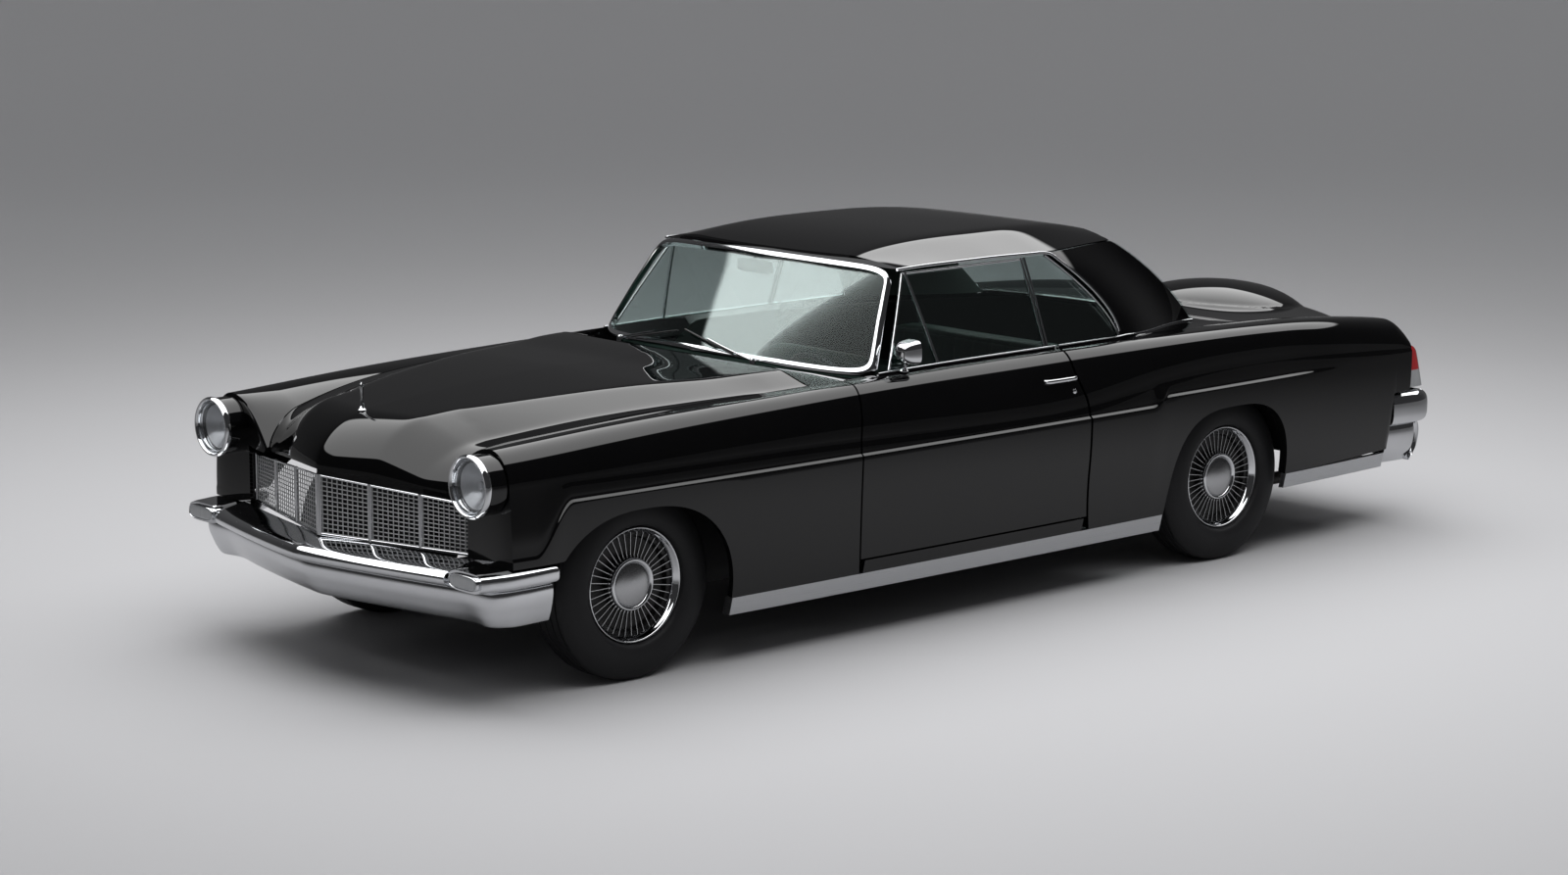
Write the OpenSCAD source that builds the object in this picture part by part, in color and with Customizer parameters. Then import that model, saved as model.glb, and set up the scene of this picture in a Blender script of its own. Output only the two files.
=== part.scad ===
// Two-door luxury coupe of the middle 1950s, built as separate panels on a ladder frame.
// Front faces -Y, the car's left is +X, up is +Z, the ground is z = 0, sizes in mm.

/* [Body] */
// half width of the body at the side crease
body_half = 985; // [975:1:990]
// height of the side crease on the door
crease_z = 733; // [725:1:745]
// how far the lower side stands out below the crease
crease_step = 12; // [6:1:14]
// rise of the crease behind the door
kick_up = 34; // [20:1:40]
// thickness of the fender, hood and lid panels
skin = 24; // [18:1:28]
// gap around doors, hood and trunk lid
gap = 8; // [7:0.5:10]
// lower edge of the door
door_bottom = 326; // [320:1:345]
// inner face of the door, from the centre line
door_inner = 800; // [785:1:805]
/* [Greenhouse] */
// height of the roof at its crown
roof_z = 1468; // [1450:1:1480]
// half width of the roof at the drip rail
drip_x = 700; // [690:1:705]
// glass thickness
glass = 6; // [4:0.5:8]
/* [Wheels] */
// distance between the axles
wheelbase = 3200; // [3185:1:3215]
// tyre outer radius and height of the axles
tyre_r = 357; // [350:1:362]
// tyre section width
tyre_w = 204; // [190:1:208]
// radius of the rim seat
rim_r = 190; // [186:1:194]
// track of the front wheels
track_f = 1486; // [1476:1:1500]
// track of the rear wheels
track_r = 1524; // [1510:1:1536]
/* [Front] */
// head lamp distance from the centre line
lamp_x = 816; // [812:1:820]
// head lamp height
lamp_z = 816; // [810:1:822]
// head lamp bezel radius
lamp_r = 116; // [110:1:118]
// bars that stand across each grille cell
grille_bars = 4; // [3:1:6]
/* [Frame] */
// width of a frame rail
rail_w = 80; // [72:1:90]
// height of a frame rail
rail_h = 110; // [90:1:118]
// radius of the rear axle tube
axle_r = 40; // [34:1:44]
// half width of the engine
engine_w = 270; // [240:1:290]
// radius of the exhaust pipes
pipe_r = 27; // [22:1:30]
/* [Cabin] */
// half width of the front seat
seat_w = 700; // [660:1:720]
// height of the seat cushions
seat_z = 560; // [530:1:580]
// radius of the steering wheel
helm_r = 205; // [185:1:215]
/* [Hidden] */
paint = [0.03, 0.03, 0.035];
bright = [0.8, 0.82, 0.84];
dark = [0.15, 0.15, 0.16];
clear = [0.55, 0.65, 0.62, 0.5];
axle_f = -1823;
axle_b = axle_f + wheelbase;
first = -2800;
pitch = 400;
// body stations every pitch: inset of the crease from body_half, crown x, crown z, start of the shoulder z,
// squareness of the shoulder, panel edge x, panel edge z
STATION = [
  [62, 812, 925, 812, 2.0, 480, 790],
  [37, 816, 941, 814, 2.0, 590, 880],
  [22, 824, 967, 806, 2.1, 700, 952],
  [13, 838, 981, 802, 2.2, 745, 977],
  [6, 854, 989, 800, 2.2, 795, 990],
  [2, 860, 999, 790, 2.2, 830, 1004],
  [0, 853, 1008, 775, 2.1, 836, 1015],
  [0, 848, 1010, 765, 2.0, 836, 1018],
  [2, 848, 1010, 765, 2.0, 836, 1018],
  [5, 854, 1010, 830, 2.6, 832, 1018],
  [11, 856, 1006, 856, 2.9, 795, 1008],
  [20, 850, 998, 856, 2.8, 720, 986],
  [36, 836, 980, 836, 2.5, 670, 962],
  [62, 812, 938, 800, 2.2, 625, 918],
  [95, 785, 880, 770, 2.0, 570, 860]];

function mixf(a, b, t) = a + (b - a) * t;
function clamp(t) = max(0, min(1, t));
function sm(a, b, x) = let (t = clamp((x - a) / (b - a))) t * t * (3 - 2 * t);
function weights(f) = [pow(1 - f, 3), 3 * pow(f, 3) - 6 * f * f + 4,
  -3 * pow(f, 3) + 3 * f * f + 3 * f + 1, pow(f, 3)] / 6;
function station(y) = let (u = (y - first) / pitch, i = floor(u))
  weights(u - i) * [for (j = [-1:2]) STATION[max(0, min(len(STATION) - 1, i + j))]];
// height of the crease: level, with a kick behind the door and a sweep down ahead of the front wheel
function crease(y) = crease_z + kick_up * sm(790, 905, y) - 183 * sm(-2205, -2375, y);
// how much of the step is left: it dies out in the kick and again along the rear fender
function fade(y) = sm(0, 48, abs(y - 850)) * (1 - sm(1650, 2050, y));
// soft corner: 0 far below zero, d far above it
function bend(d, e) = (sqrt(d * d + e * e) + d) / 2;
// quarter ellipse that rolls an edge down over the length a at its front end
function roll(d, a) = d >= a ? 0 : 1 - sqrt(max(0, 1 - pow((a - d) / a, 2)));
nose_y = -2475;
tail_y = 2548;
function tail_k(y) = y < 2450 ? 1 : sqrt(max(0.05, 1 - pow((y - 2450) / 120, 2)));
function low_x(y, z) = let (w = body_half - station(y)[0], t = (z - 200) / (crease(y) - 200))
  w - 78 * pow(max(0, 1 - t), 2);
// point of the half section at y: r 0-1 lower side, 1-2 step, 2-3 upper side, 3-4 shoulder, 4-5 crown to edge
function skin_pt(y, r, zl, step) =
  let (s = station(y), c = crease(y), w = body_half - s[0], h = crease_step + 2, k = tail_k(y),
    st = step * fade(y), sp = max(c + h + 12, c + h + (s[3] - c - h) * k), cz = c + (s[2] - c) * k,
    ez0 = c + (s[6] - c) * k, ez = ez0 - (ez0 - 743) * roll(y - nose_y, 170))
  r <= 1 ? let (z = mixf(zl, c, r)) [low_x(y, z), y, z] :
  r <= 2 ? let (t = r - 1) [w - st * sm(0, 1, t), y, c + h * t] :
  r <= 3 ? let (t = r - 2) [w - st - 5 * t * t, y, mixf(c + h, sp, t)] :
  r <= 4 ? let (a = 90 * (r - 3), e = 2 / s[4])
    [s[1] + (w - st - 5 - s[1]) * pow(max(0, cos(a)), e), y, sp + (cz - sp) * pow(sin(a), e)] :
  let (t = r - 4) [mixf(s[1], s[5], t), y, cz - (cz - ez) * t * t];
// the cuts at the front and the back of the door, by height
function cut_front(z) = -836 + 38 * pow((z - 640) / 360, 2);
function cut_back(z) = 424 + 39 * pow(max(0, (530 - z) / 244), 2) - 62 * sm(760, 950, z);
// skin point moved along y by an amount that follows a cut line: which 0 none, 1 front cut, 2 back cut
function cut_pt(y, r, zl, step, which, k) =
  which == 0 ? skin_pt(y, r, zl, step) :
  let (z = skin_pt(y, r, zl, step)[2], d = which == 1 ? cut_front(z) + 836 : cut_back(z) - 424)
  skin_pt(y + k * d, r, zl, step);
// the same point moved inward by t along the normal of the section
function in_pt(y, r, zl, which, k, t) =
  let (a = cut_pt(y, max(0, r - 0.03), zl, 0, which, k), b = cut_pt(y, min(5, r + 0.03), zl, 0, which, k),
    p = cut_pt(y, r, zl, 0, which, k), q = [b[0] - a[0], b[2] - a[2]], n = norm(q))
  [p[0] - t * q[1] / n, p[1], p[2] + t * q[0] / n];

// a closed sheet between two grids of points with the same shape
module sheet(a, b) {
  m = len(a);
  n = len(a[0]);
  pts = [for (g = [a, b]) for (row = g) for (p = row) p];
  o = m * n;
  quads = concat(
    [for (i = [0:m - 2]) for (j = [0:n - 2]) [i * n + j, i * n + j + 1, (i + 1) * n + j + 1, (i + 1) * n + j]],
    [for (i = [0:m - 2]) for (j = [0:n - 2])
      [o + i * n + j, o + (i + 1) * n + j, o + (i + 1) * n + j + 1, o + i * n + j + 1]],
    [for (j = [0:n - 2]) [j, o + j, o + j + 1, j + 1]],
    [for (j = [0:n - 2]) let (e = (m - 1) * n) [e + j, e + j + 1, o + e + j + 1, o + e + j]],
    [for (i = [0:m - 2]) [i * n, (i + 1) * n, o + (i + 1) * n, o + i * n]],
    [for (i = [0:m - 2]) let (e = n - 1) [i * n + e, o + i * n + e, o + (i + 1) * n + e, (i + 1) * n + e]]);
  polyhedron(pts, [for (q = quads) each [[q[0], q[1], q[2]], [q[0], q[2], q[3]]]], convexity = 8);
}
// a bar whose cross sections are closed loops of points, capped at both ends
module bar(loops) {
  n = len(loops[0]);
  m = len(loops);
  mid = [for (k = [0, m - 1]) [for (c = [0:2]) let (v = [for (p = loops[k]) p[c]]) v * [for (q = v) 1] / n]];
  pts = concat([for (l = loops) for (p = l) p], mid);
  polyhedron(pts, concat(
    [for (i = [0:m - 2]) for (j = [0:n - 1]) each [[i * n + j, i * n + (j + 1) % n, (i + 1) * n + (j + 1) % n],
      [i * n + j, (i + 1) * n + (j + 1) % n, (i + 1) * n + j]]],
    [for (j = [0:n - 1]) [m * n, (j + 1) % n, j]],
    [for (j = [0:n - 1]) [m * n + 1, (m - 1) * n + j, (m - 1) * n + (j + 1) % n]]), convexity = 6);
}
module pair() {
  children();
  mirror([1, 0, 0]) children();
}
module block(x0, x1, y0, y1, z0, z1) {
  translate([x0, y0, z0]) cube([x1 - x0, y1 - y0, z1 - z0]);
}
// rod along x
module rod_x(x0, x1, y, z, r) {
  translate([x0, y, z]) rotate([0, 90, 0]) cylinder(h = x1 - x0, r = r, $fn = 48);
}
// rod along y
module rod_y(y0, y1, x, z, r) {
  translate([x, y1, z]) rotate([90, 0, 0]) cylinder(h = y1 - y0, r = r, $fn = 48);
}

// wheel arches: superellipses around a centre a little off each axle
arch_f = axle_f - 57;
arch_b = axle_b - 64;
function arch(y, c, a, b, n) = abs(y - c) >= a ? 0 : 200 + b * pow(1 - pow(abs(y - c) / a, n), 1 / n);
function fender_low(y) = max(y < arch_f ? 524 : 266, arch(y, arch_f, 445, 472, 2.45));
function quarter_low(y) = max(y < arch_b ? 266 : y < 2425 ? 340 + 0.021 * (y - 1735) : 608,
  arch(y, arch_b, 388, 485, 3.0));
ROWS = [0, 0.35, 0.7, 1, 2, 2.5, 3, 3.2, 3.4, 3.6, 3.8, 4, 4.35, 4.7, 5];
fender_ys = concat([nose_y + 2, -2440, -2400, -2365],
  [for (a = [10:12:170]) arch_f - 445 * pow(abs(cos(a)), 2 / 2.45) * sign(cos(a))],
  [arch_f + 446, -1300, -1150, -1000, -900]);
quarter_ys = concat([520, 600, 680, 760, 805, 850, 895],
  [for (a = [8:12:172]) arch_b - 388 * pow(abs(cos(a)), 2 / 3) * sign(cos(a))],
  [arch_b + 389, 1850, 2000, 2150, 2300, 2424, 2432, 2480, 2518, tail_y - 0.5]);
// inner line of the closed front face of a fender
function nose_in(p, r) = [r < 3 ? 692 : r < 4 ? mixf(692, 664, r - 3) : mixf(664, 592, r - 4), nose_y - 8,
  min(p[2], r < 3 ? 752 : mixf(752, 736, (r - 3) / 2))];
module fender_left() {
  out = concat([[for (r = ROWS) nose_in(skin_pt(nose_y + 2, r, 524, crease_step), r)]],
    [for (y = fender_ys) [for (r = ROWS) skin_pt(y, r, fender_low(y), crease_step)]],
    [[for (r = ROWS) cut_pt(-836 - gap / 2, r, 266, crease_step, 1, 1)]]);
  inn = concat([[for (r = ROWS) nose_in(skin_pt(nose_y + 2, r, 524, crease_step), r) + [0, skin, 0]]],
    [for (y = fender_ys) [for (r = ROWS) in_pt(y, r, fender_low(y), 0, 0, skin)
      + [0, y < nose_y + 3 ? skin - 4 : y < -2430 ? 6 : 0, 0]]],
    [[for (r = ROWS) in_pt(-836 - gap / 2, r, 266, 1, 1, skin)]]);
  sheet(out, inn);
}
module front_fenders() {
  color(paint) pair() fender_left();
}
function tail_in(p, r) = [mixf(690, 600, r / 5), tail_y, min(p[2], mixf(608, 745, r / 5))];
module quarter_left() {
  th = skin + 16;
  out = concat([[for (r = ROWS) cut_pt(424 + gap / 2, r, 266, crease_step, 2, 1)]],
    [for (y = quarter_ys) [for (r = ROWS) cut_pt(y, r, quarter_low(y), crease_step, 2, 1 - sm(424, 700, y))]],
    [[for (r = ROWS) tail_in(skin_pt(tail_y - 0.5, r, 608, 0), r)]]);
  inn = concat([[for (r = ROWS) in_pt(424 + gap / 2, r, 266, 2, 1, th)]],
    [for (y = quarter_ys) [for (r = ROWS) in_pt(y, r, quarter_low(y), 2, 1 - sm(424, 700, y), th)
      - [0, y > 2500 ? th - 12 : 0, 0]]],
    [[for (r = ROWS) tail_in(skin_pt(tail_y - 0.5, r, 608, 0), r) - [0, th, 0]]]);
  sheet(out, inn);
}
module quarter_panels() {
  color(paint) pair() quarter_left();
}
// a strip of the lower side between two heights
module low_strip(ys, z0, z1, inner) {
  sheet([for (y = ys) [for (t = [0, 0.5, 1]) let (z = mixf(z0, z1, t)) [low_x(y, z), y, z]]],
    [for (y = ys) [for (t = [0, 0.5, 1]) let (z = mixf(z0, z1, t)) [inner > 0 ? inner : low_x(y, z) + inner, y, z]]]);
}
module sills() {
  color(paint) pair() low_strip([-780, -300, 100, 430], 266, door_bottom - gap, 770);
}
module rocker_mouldings() {
  color(bright) pair() {
    low_strip([arch_f + 447, -900, -300, 300, arch_b - 391], 197, 265.6, -40);
    low_strip([arch_b + 391, 1950, 2200, 2410], 276, 339, -26);
  }
}
module door_shape() {
  rows = [0, 0.5, 1, 2, 2.5, 3, 3.2, 3.4, 3.6, 3.8, 4, 4.5, 5];
  n = len(rows) - 1;
  f = [0, 0.12, 0.3, 0.5, 0.7, 0.88, 1];
  out = [for (s = f) [for (r = rows) let (yf = -836 + gap / 2, yb = 424 - gap / 2)
    let (p = skin_pt(mixf(yf, yb, s), r, door_bottom, crease_step), z = p[2])
    skin_pt(mixf(cut_front(z) + gap / 2, cut_back(z) - gap / 2 - 4, s), r, door_bottom, crease_step)]];
  inn = [for (s = f) [for (i = [0:n]) let (z = mixf(door_bottom, mixf(780, 1000, sm(0.3, 0.6, s)), i / n))
    [door_inner, mixf(cut_front(z) + gap / 2 + 6, cut_back(z) - gap / 2 - 26, s), z]]];
  sheet(out, inn);
}
// hinge pin of the left door in plan, and the pocket the two goosenecks swing in
door_pin = [962, -785];
module hinge_pocket(z) {
  translate([door_pin[0], door_pin[1], 0]) {
    translate([0, 0, z - 3]) linear_extrude(30) polygon([[7, 0], [0, 8], [-94, 10], [-94, -70], [-12, -70], [6, -8]]);
    translate([0, 0, z - 19]) cylinder(h = 62, r = 6, $fn = 32);
  }
}
module door_leaf() {
  difference() {
    door_shape();
    hinge_pocket(615);
    hinge_pocket(695);
  }
}
// pillar ahead of the door, with two goosenecks that carry the hinge pins
module hinge_pillars() {
  color(dark) pair() {
    block(770, 888, -892, -846, 318, 900);
    for (z = [615, 695]) {
      block(880, 888, -847, -781, z, z + 24);
      block(880, 962, -789, -781, z, z + 24);
      translate([door_pin[0], door_pin[1], z - 16]) cylinder(h = 56, r = 5, $fn = 32);
    }
  }
}
module door_left() {
  color(paint) door_leaf();
}
module door_right() {
  color(paint) mirror([1, 0, 0]) door_leaf();
}
// side glass: leaning plane from the belt to the drip rail
function side_pt(y, t) = [mixf(831, drip_x - 8, t) + 14 * t * (1 - t), y, mixf(1018, 1368, t)];
module side_glass(y0, y1, yt0, yt1) {
  g = [for (s = [0, 0.33, 0.67, 1]) [for (t = [-0.005, 0.33, 0.67, 1])
    side_pt(mixf(mixf(y0, y1, s), mixf(yt0, yt1, s), t), t)]];
  sheet(g, [for (row = g) [for (p = row) p - [glass, 0, 0]]]);
}
module door_glass_left() {
  color(clear) side_glass(-566, 300, -366, 296);
}
module door_glass_right() {
  color(clear) mirror([1, 0, 0]) side_glass(-566, 300, -366, 296);
}
function sail_front(t) = mixf(742, 440, pow(t, 1.6));
module quarter_glass() {
  g = [for (s = [0, 0.25, 0.5, 0.75, 1]) [for (t = [0, 0.2, 0.4, 0.6, 0.8, 1])
    side_pt(mixf(308, sail_front(t) - 8, s), t)]];
  color(clear) pair() sheet(g, [for (row = g) [for (p = row) p - [glass, 0, 0]]]);
}
module door_mirror() {
  color(bright) {
    translate([850, -500, 1009.3]) cylinder(h = 54, r = 9, $fn = 24);
    bar([for (s = [[-540, 16], [-534, 30], [-515, 42], [-490, 49], [-470, 52]]) [for (a = [0:22.5:340])
      [868 + s[1] * pow(abs(cos(a)), 0.55) * sign(cos(a)), s[0],
        1086 + s[1] * 0.92 * pow(abs(sin(a)), 0.55) * sign(sin(a))]]]);
  }
}

// windshield: u across from -1 to 1, v from the base to the header
function shield_pt(u, v) = let (a = abs(u),
  b = [808 * u, -838 + 209 * pow(a, 2.3), 1046 - 38 * a * a],
  h = [684 * u, -500 + 76 * pow(a, 2.4), 1392 - 14 * a * a])
  mixf(b, h, v) + [0, -14, 12] * (4 * v * (1 - v)) * (1 - 0.5 * a);
in_shield = [0, 0.72, -0.69];
shield_loop = concat([for (u = [-1:0.2:1]) [u, 0]], [for (v = [0.25, 0.5, 0.75]) [1, v]],
  [for (u = [1:-0.2:-1]) [u, 1]], [for (v = [0.75, 0.5, 0.25]) [-1, v]]);
function grow(q, gu, gv) = [q[0] * (1 + gu), q[1] + (q[1] - 0.5) * 2 * gv];
module windshield_frame() {
  n = len(shield_loop);
  rings = [for (q = shield_loop) [for (k = [[0.01, 0.055, 4], [0.01, 0.055, 24], [-0.014, -0.012, 24],
    [-0.014, -0.012, 0]]) let (g = grow(q, k[0], k[1])) shield_pt(g[0], g[1]) + in_shield * k[2]]];
  pts = [for (r = rings) for (p = r) p];
  color(bright) polyhedron(pts, [for (i = [0:n - 1]) for (j = [0:3]) let (a = i * 4, b = ((i + 1) % n) * 4,
    k = (j + 1) % 4) each [[a + j, b + j, b + k], [a + j, b + k, a + k]]], convexity = 6);
}
module windshield_glass() {
  g = [for (u = [-0.984:0.1968:0.985]) [for (v = [0.014, 0.26, 0.5, 0.74, 0.986]) shield_pt(u, v) + in_shield * 8]];
  color(clear) sheet([for (r = g) r], [for (r = g) [for (p = r) p + in_shield * glass]]);
}
// roof: x by fraction of the drip rail, centre profile and edge height along y
function roof_w(y) = drip_x - 100 * sm(380, 960, y);
function roof_c(y) = roof_z - 62 * pow(max(0, (250 - y) / 740), 1.9) - 60 * pow(max(0, (y - 250) / 730), 2.2);
function roof_e(y) = 1389 - 6 * sm(100, 500, y) - 4 * sm(-200, -430, y);
// nearly flat across, with a ramp down to each drip rail
function roof_fall(a) = 0.06 * a * a + 0.94 * (bend(a - 0.62, 0.06) - bend(-0.62, 0.06))
  / (bend(0.38, 0.06) - bend(-0.62, 0.06));
function roof_pt(f, y) = let (e = roof_e(y))
  [f * roof_w(y), y, e + (roof_c(y) - e) * (1 - roof_fall(abs(f)))];
function roof_y0(f) = shield_pt(f, 1.06)[1] + 27;
function roof_y1(f) = 985 - 75 * f * f;
ROOF_F = [-1, -0.85, -0.72, -0.65, -0.58, -0.48, -0.25, 0, 0.25, 0.48, 0.58, 0.65, 0.72, 0.85, 1];
module roof() {
  g = [for (s = [0, 0.1, 0.22, 0.36, 0.5, 0.64, 0.78, 0.9, 1]) [for (f = ROOF_F)
    roof_pt(f, mixf(roof_y0(f), roof_y1(f), s))]];
  h = [for (row = g) [for (j = [0:len(row) - 1])
    row[j] - [row[j][0] * 0.02, 0, 8 + 22 * (1 - pow(abs(ROOF_F[j]), 4))]]];
  color(paint) sheet(h, g);
}
// rear quarter of the cabin: s from the window to the rear glass, t from the belt to the roof
function sail_pt(s, t) = let (yt = mixf(sail_front(1), roof_y1(1), s), yb = mixf(sail_front(0), 1385, s),
  yy = mixf(sail_front(t), mixf(1385, roof_y1(1), t), s),
  base = [mixf(828, 640, sm(0, 1, s)), yb, mixf(1022, 1006, s)],
  top = [roof_w(yt), yt, roof_e(yt)])
  [mixf(base[0], top[0], t) + 34 * t * (1 - t) * 4 * 0.7, yy, mixf(base[2], top[2], t) + 26 * t * (1 - t) * 4 * s];
module sail_panels() {
  g = [for (s = [0, 0.2, 0.4, 0.6, 0.8, 1]) [for (t = [0, 0.2, 0.4, 0.6, 0.8, 0.984]) sail_pt(s, t)]];
  color(paint) pair() sheet(g, [for (row = g) [for (p = row) p - [34, 0, 8]]]);
}
function back_pt(u, v) = let (a = abs(u), e = sail_pt(1, v),
  c = mixf([0, 1480, 1006], [0, 985, roof_c(985) - 6], v))
  [u * (e[0] - 3), mixf(c[1], e[1], a * a) + 18, mixf(c[2], e[2], a * a) + 14 * 4 * v * (1 - v) * (1 - a * a)];
module rear_glass() {
  g = [for (u = [-1:0.2:1.01]) [for (v = [0.02, 0.25, 0.5, 0.75, 0.96]) back_pt(u, v) + [0, 0, -4]]];
  color(clear) sheet([for (r = g) [for (p = r) p - [0, 0.6, 0.8] * glass]], g);
}

// hood: f across from -1 to 1, y along; the nose rolls down to the lip above the grille
function hood_w(y) = station(y)[5] - gap;
function hood_yf(f) = -2647 + 172 * pow(abs(f), 1.25);
function hood_yb(f) = -1000 + 36 * f * f;
function hood_c(y) = 1040 - 52 * pow(max(0, (-1500 - y) / 800), 1.6) + 10 * sm(-1300, -1000, y);
// cross profile: a faint ridge on the centre line, then a ramp down to the valley beside the fender
function hood_step(a, p, q) = bend(a - p, 0.025) - bend(a - q, 0.025);
function hood_fall(a, y) = let (t = pow(clamp((y + 2250) / 1150), 0.7), p = 0.48 + 0.34 * t, q = 0.82 + 0.18 * t,
  h0 = hood_step(0, p, q)) 0.08 * a + 0.92 * (hood_step(a, p, q) - h0) / (hood_step(1, p, q) - h0);
function hood_pt(f, t) = let (ye = mixf(hood_yf(1), hood_yb(1), t), a = abs(f),
  y = mixf(hood_yf(f), hood_yb(f), t), e = station(ye)[6], lip = 778 - 35 * a * a,
  base = e + (hood_c(y) - e) * (1 - hood_fall(a, y)))
  [f * hood_w(ye), y, base - (base - lip) * roll(y - hood_yf(f), mixf(240, 170, a))];
HOOD_F = [-1, -0.95, -0.89, -0.83, -0.76, -0.69, -0.62, -0.54, -0.44, -0.22, 0, 0.22, 0.44, 0.54, 0.62, 0.69, 0.76,
  0.83, 0.89, 0.95, 1];
HOOD_T = [0, 0.008, 0.03, 0.065, 0.11, 0.18, 0.3, 0.45, 0.6, 0.75, 0.88, 1];
module hood() {
  g = [for (t = HOOD_T) [for (f = HOOD_F) hood_pt(f, t)]];
  h = [for (t = HOOD_T) [for (f = HOOD_F) let (p = hood_pt(f, t))
    [p[0] * 0.985, p[1] + skin * 0.9 * (1 - sm(0, 0.09, t)), p[2] - skin * mixf(0.15, 1, sm(0, 0.09, t))]]];
  color(paint) sheet(h, g);
}
// cowl: from behind the hood to the foot of the windshield
module cowl_panel() {
  us = [-1, -0.8, -0.6, -0.3, 0, 0.3, 0.6, 0.8, 1];
  w = hood_w(hood_yb(1));
  g = [for (t = [0, 0.33, 0.67, 1]) [for (f = us) let (h = hood_pt(f, 1),
    p = [h[0] * (w + gap - 3.3) / w, h[1] + gap, h[2]],
    q = shield_pt(f * 0.985, -0.06) - [0, 2, 0]) mixf(p, q, t)]];
  color(paint) sheet([for (row = g) [for (p = row) p - [0, 0, 20]]], g);
}
// deck behind the cabin and trunk lid with its rounded spare-wheel hump
function deck_w(y) = station(y)[5] - gap;
lid_y0 = 1600;
function lid_yb(f) = 2700 - 150 * f * f;
function hump(x, y) = 85 * pow(max(0, 1 - (x * x + pow(y - 2290, 2)) / (380 * 380)), 0.8);
function deck_c(y) = 985 - 45 * sm(1700, 2600, y);
function deck_pt(f, y, ye) = let (a = abs(f), w = deck_w(ye), e = skin_pt(min(ye, 2525), 5, 608, 0)[2],
  base = e + (max(e, deck_c(y)) - e) * pow(1 - a * a, 1.3) + hump(f * w, y), d = lid_yb(f) - y)
  [f * w, y, base - (base - mixf(800, 760, a * a)) * roll(d, 230)];
DECK_F = [-1, -0.85, -0.7, -0.5, -0.25, 0, 0.25, 0.5, 0.7, 0.85, 1];
module trunk_lid() {
  g = [for (t = [0, 0.12, 0.25, 0.4, 0.55, 0.7, 0.82, 0.9, 0.96, 0.99, 1]) [for (f = DECK_F)
    deck_pt(f, mixf(lid_y0, lid_yb(f), t), mixf(lid_y0, lid_yb(1), t))]];
  h = [for (i = [0:10]) [for (p = g[i]) let (k = sm(0.5, 1, i / 10))
    [p[0] * 0.98, p[1] - skin * 0.9 * k, p[2] - skin * mixf(1, 0.2, k)]]];
  color(paint) sheet(h, g);
}
function deck_in(q) = let (a = abs(q), g = sign(q)) a <= 0.5 ?
  [g * 2 * a * 640, 1497 - 95 * 4 * a * a, 1004] :
  let (s = 2 - 2 * a, p = sail_pt(s, 0)) [g * p[0], p[1] + 0.5, p[2] - 0.5];
function deck_out(q) = let (a = abs(q), g = sign(q), y = lid_y0 - gap) a <= 0.5 ?
  let (p = deck_pt(2 * a, y, y)) [g * 2 * a * (station(y)[5] - 0.5), y, p[2]] :
  let (yy = mixf(sail_front(0), y, 2 - 2 * a), p = skin_pt(yy, 5, 300, 0)) [g * (p[0] - 1), yy, p[2]];
module rear_deck() {
  qs = [-1, -0.9, -0.8, -0.7, -0.6, -0.5, -0.3, -0.12, 0.12, 0.3, 0.5, 0.6, 0.7, 0.8, 0.9, 1];
  g = [for (t = [0, 0.5, 1]) [for (q = qs) mixf(deck_in(q), deck_out(q), t)]];
  color(paint) sheet([for (row = g) [for (p = row) p - [p[0] * 0.02, 0, 14]]], g);
}
// pin that the trunk lid turns on, in the gap ahead of it
module trunk_hinge_pin() {
  color(bright) {
    rod_x(-140, 140, lid_y0 - gap / 2, 984, 2.6);
    block(-140, 140, lid_y0 - gap + 0.3, lid_y0 - gap / 2, 981.6, 984);
  }
}
module tail_panel() {
  color(paint) sheet(
    [for (f = [-1, -0.6, 0, 0.6, 1]) [for (t = [0, 0.5, 1])
      [f * mixf(689.5, 599.5, t), 2640 - 92 * f * f, mixf(608, 745, t)]]],
    [for (f = [-1, -0.6, 0, 0.6, 1]) [for (t = [0, 0.5, 1])
      [f * mixf(689.5, 599.5, t), 2620 - 92 * f * f, mixf(608, 745, t)]]]);
}

// grille: two flat halves that meet in a V, each with three cells
module grille_half() {
  w = 711.7;
  translate([4, -2640, 0]) rotate([0, 0, 15.3]) translate([0, -6, 0]) rotate([90, 0, 0]) translate([0, 0, -26])
    linear_extrude(26) difference() {
      polygon([[0, 530], [w, 530], [w, 722], [0, 760]]);
      for (c = [0:2]) for (k = [0:grille_bars - 1]) for (j = [0:2]) {
        x0 = 12 + c * 232 + k * (222 / grille_bars);
        translate([x0, 544 + j * 58]) square([222 / grille_bars - 5, 53]);
      }
    }
}
module grille() {
  color(bright) {
    pair() grille_half();
    block(-3.9, 3.9, -2644, -2620, 530, 760);
  }
}
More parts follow.
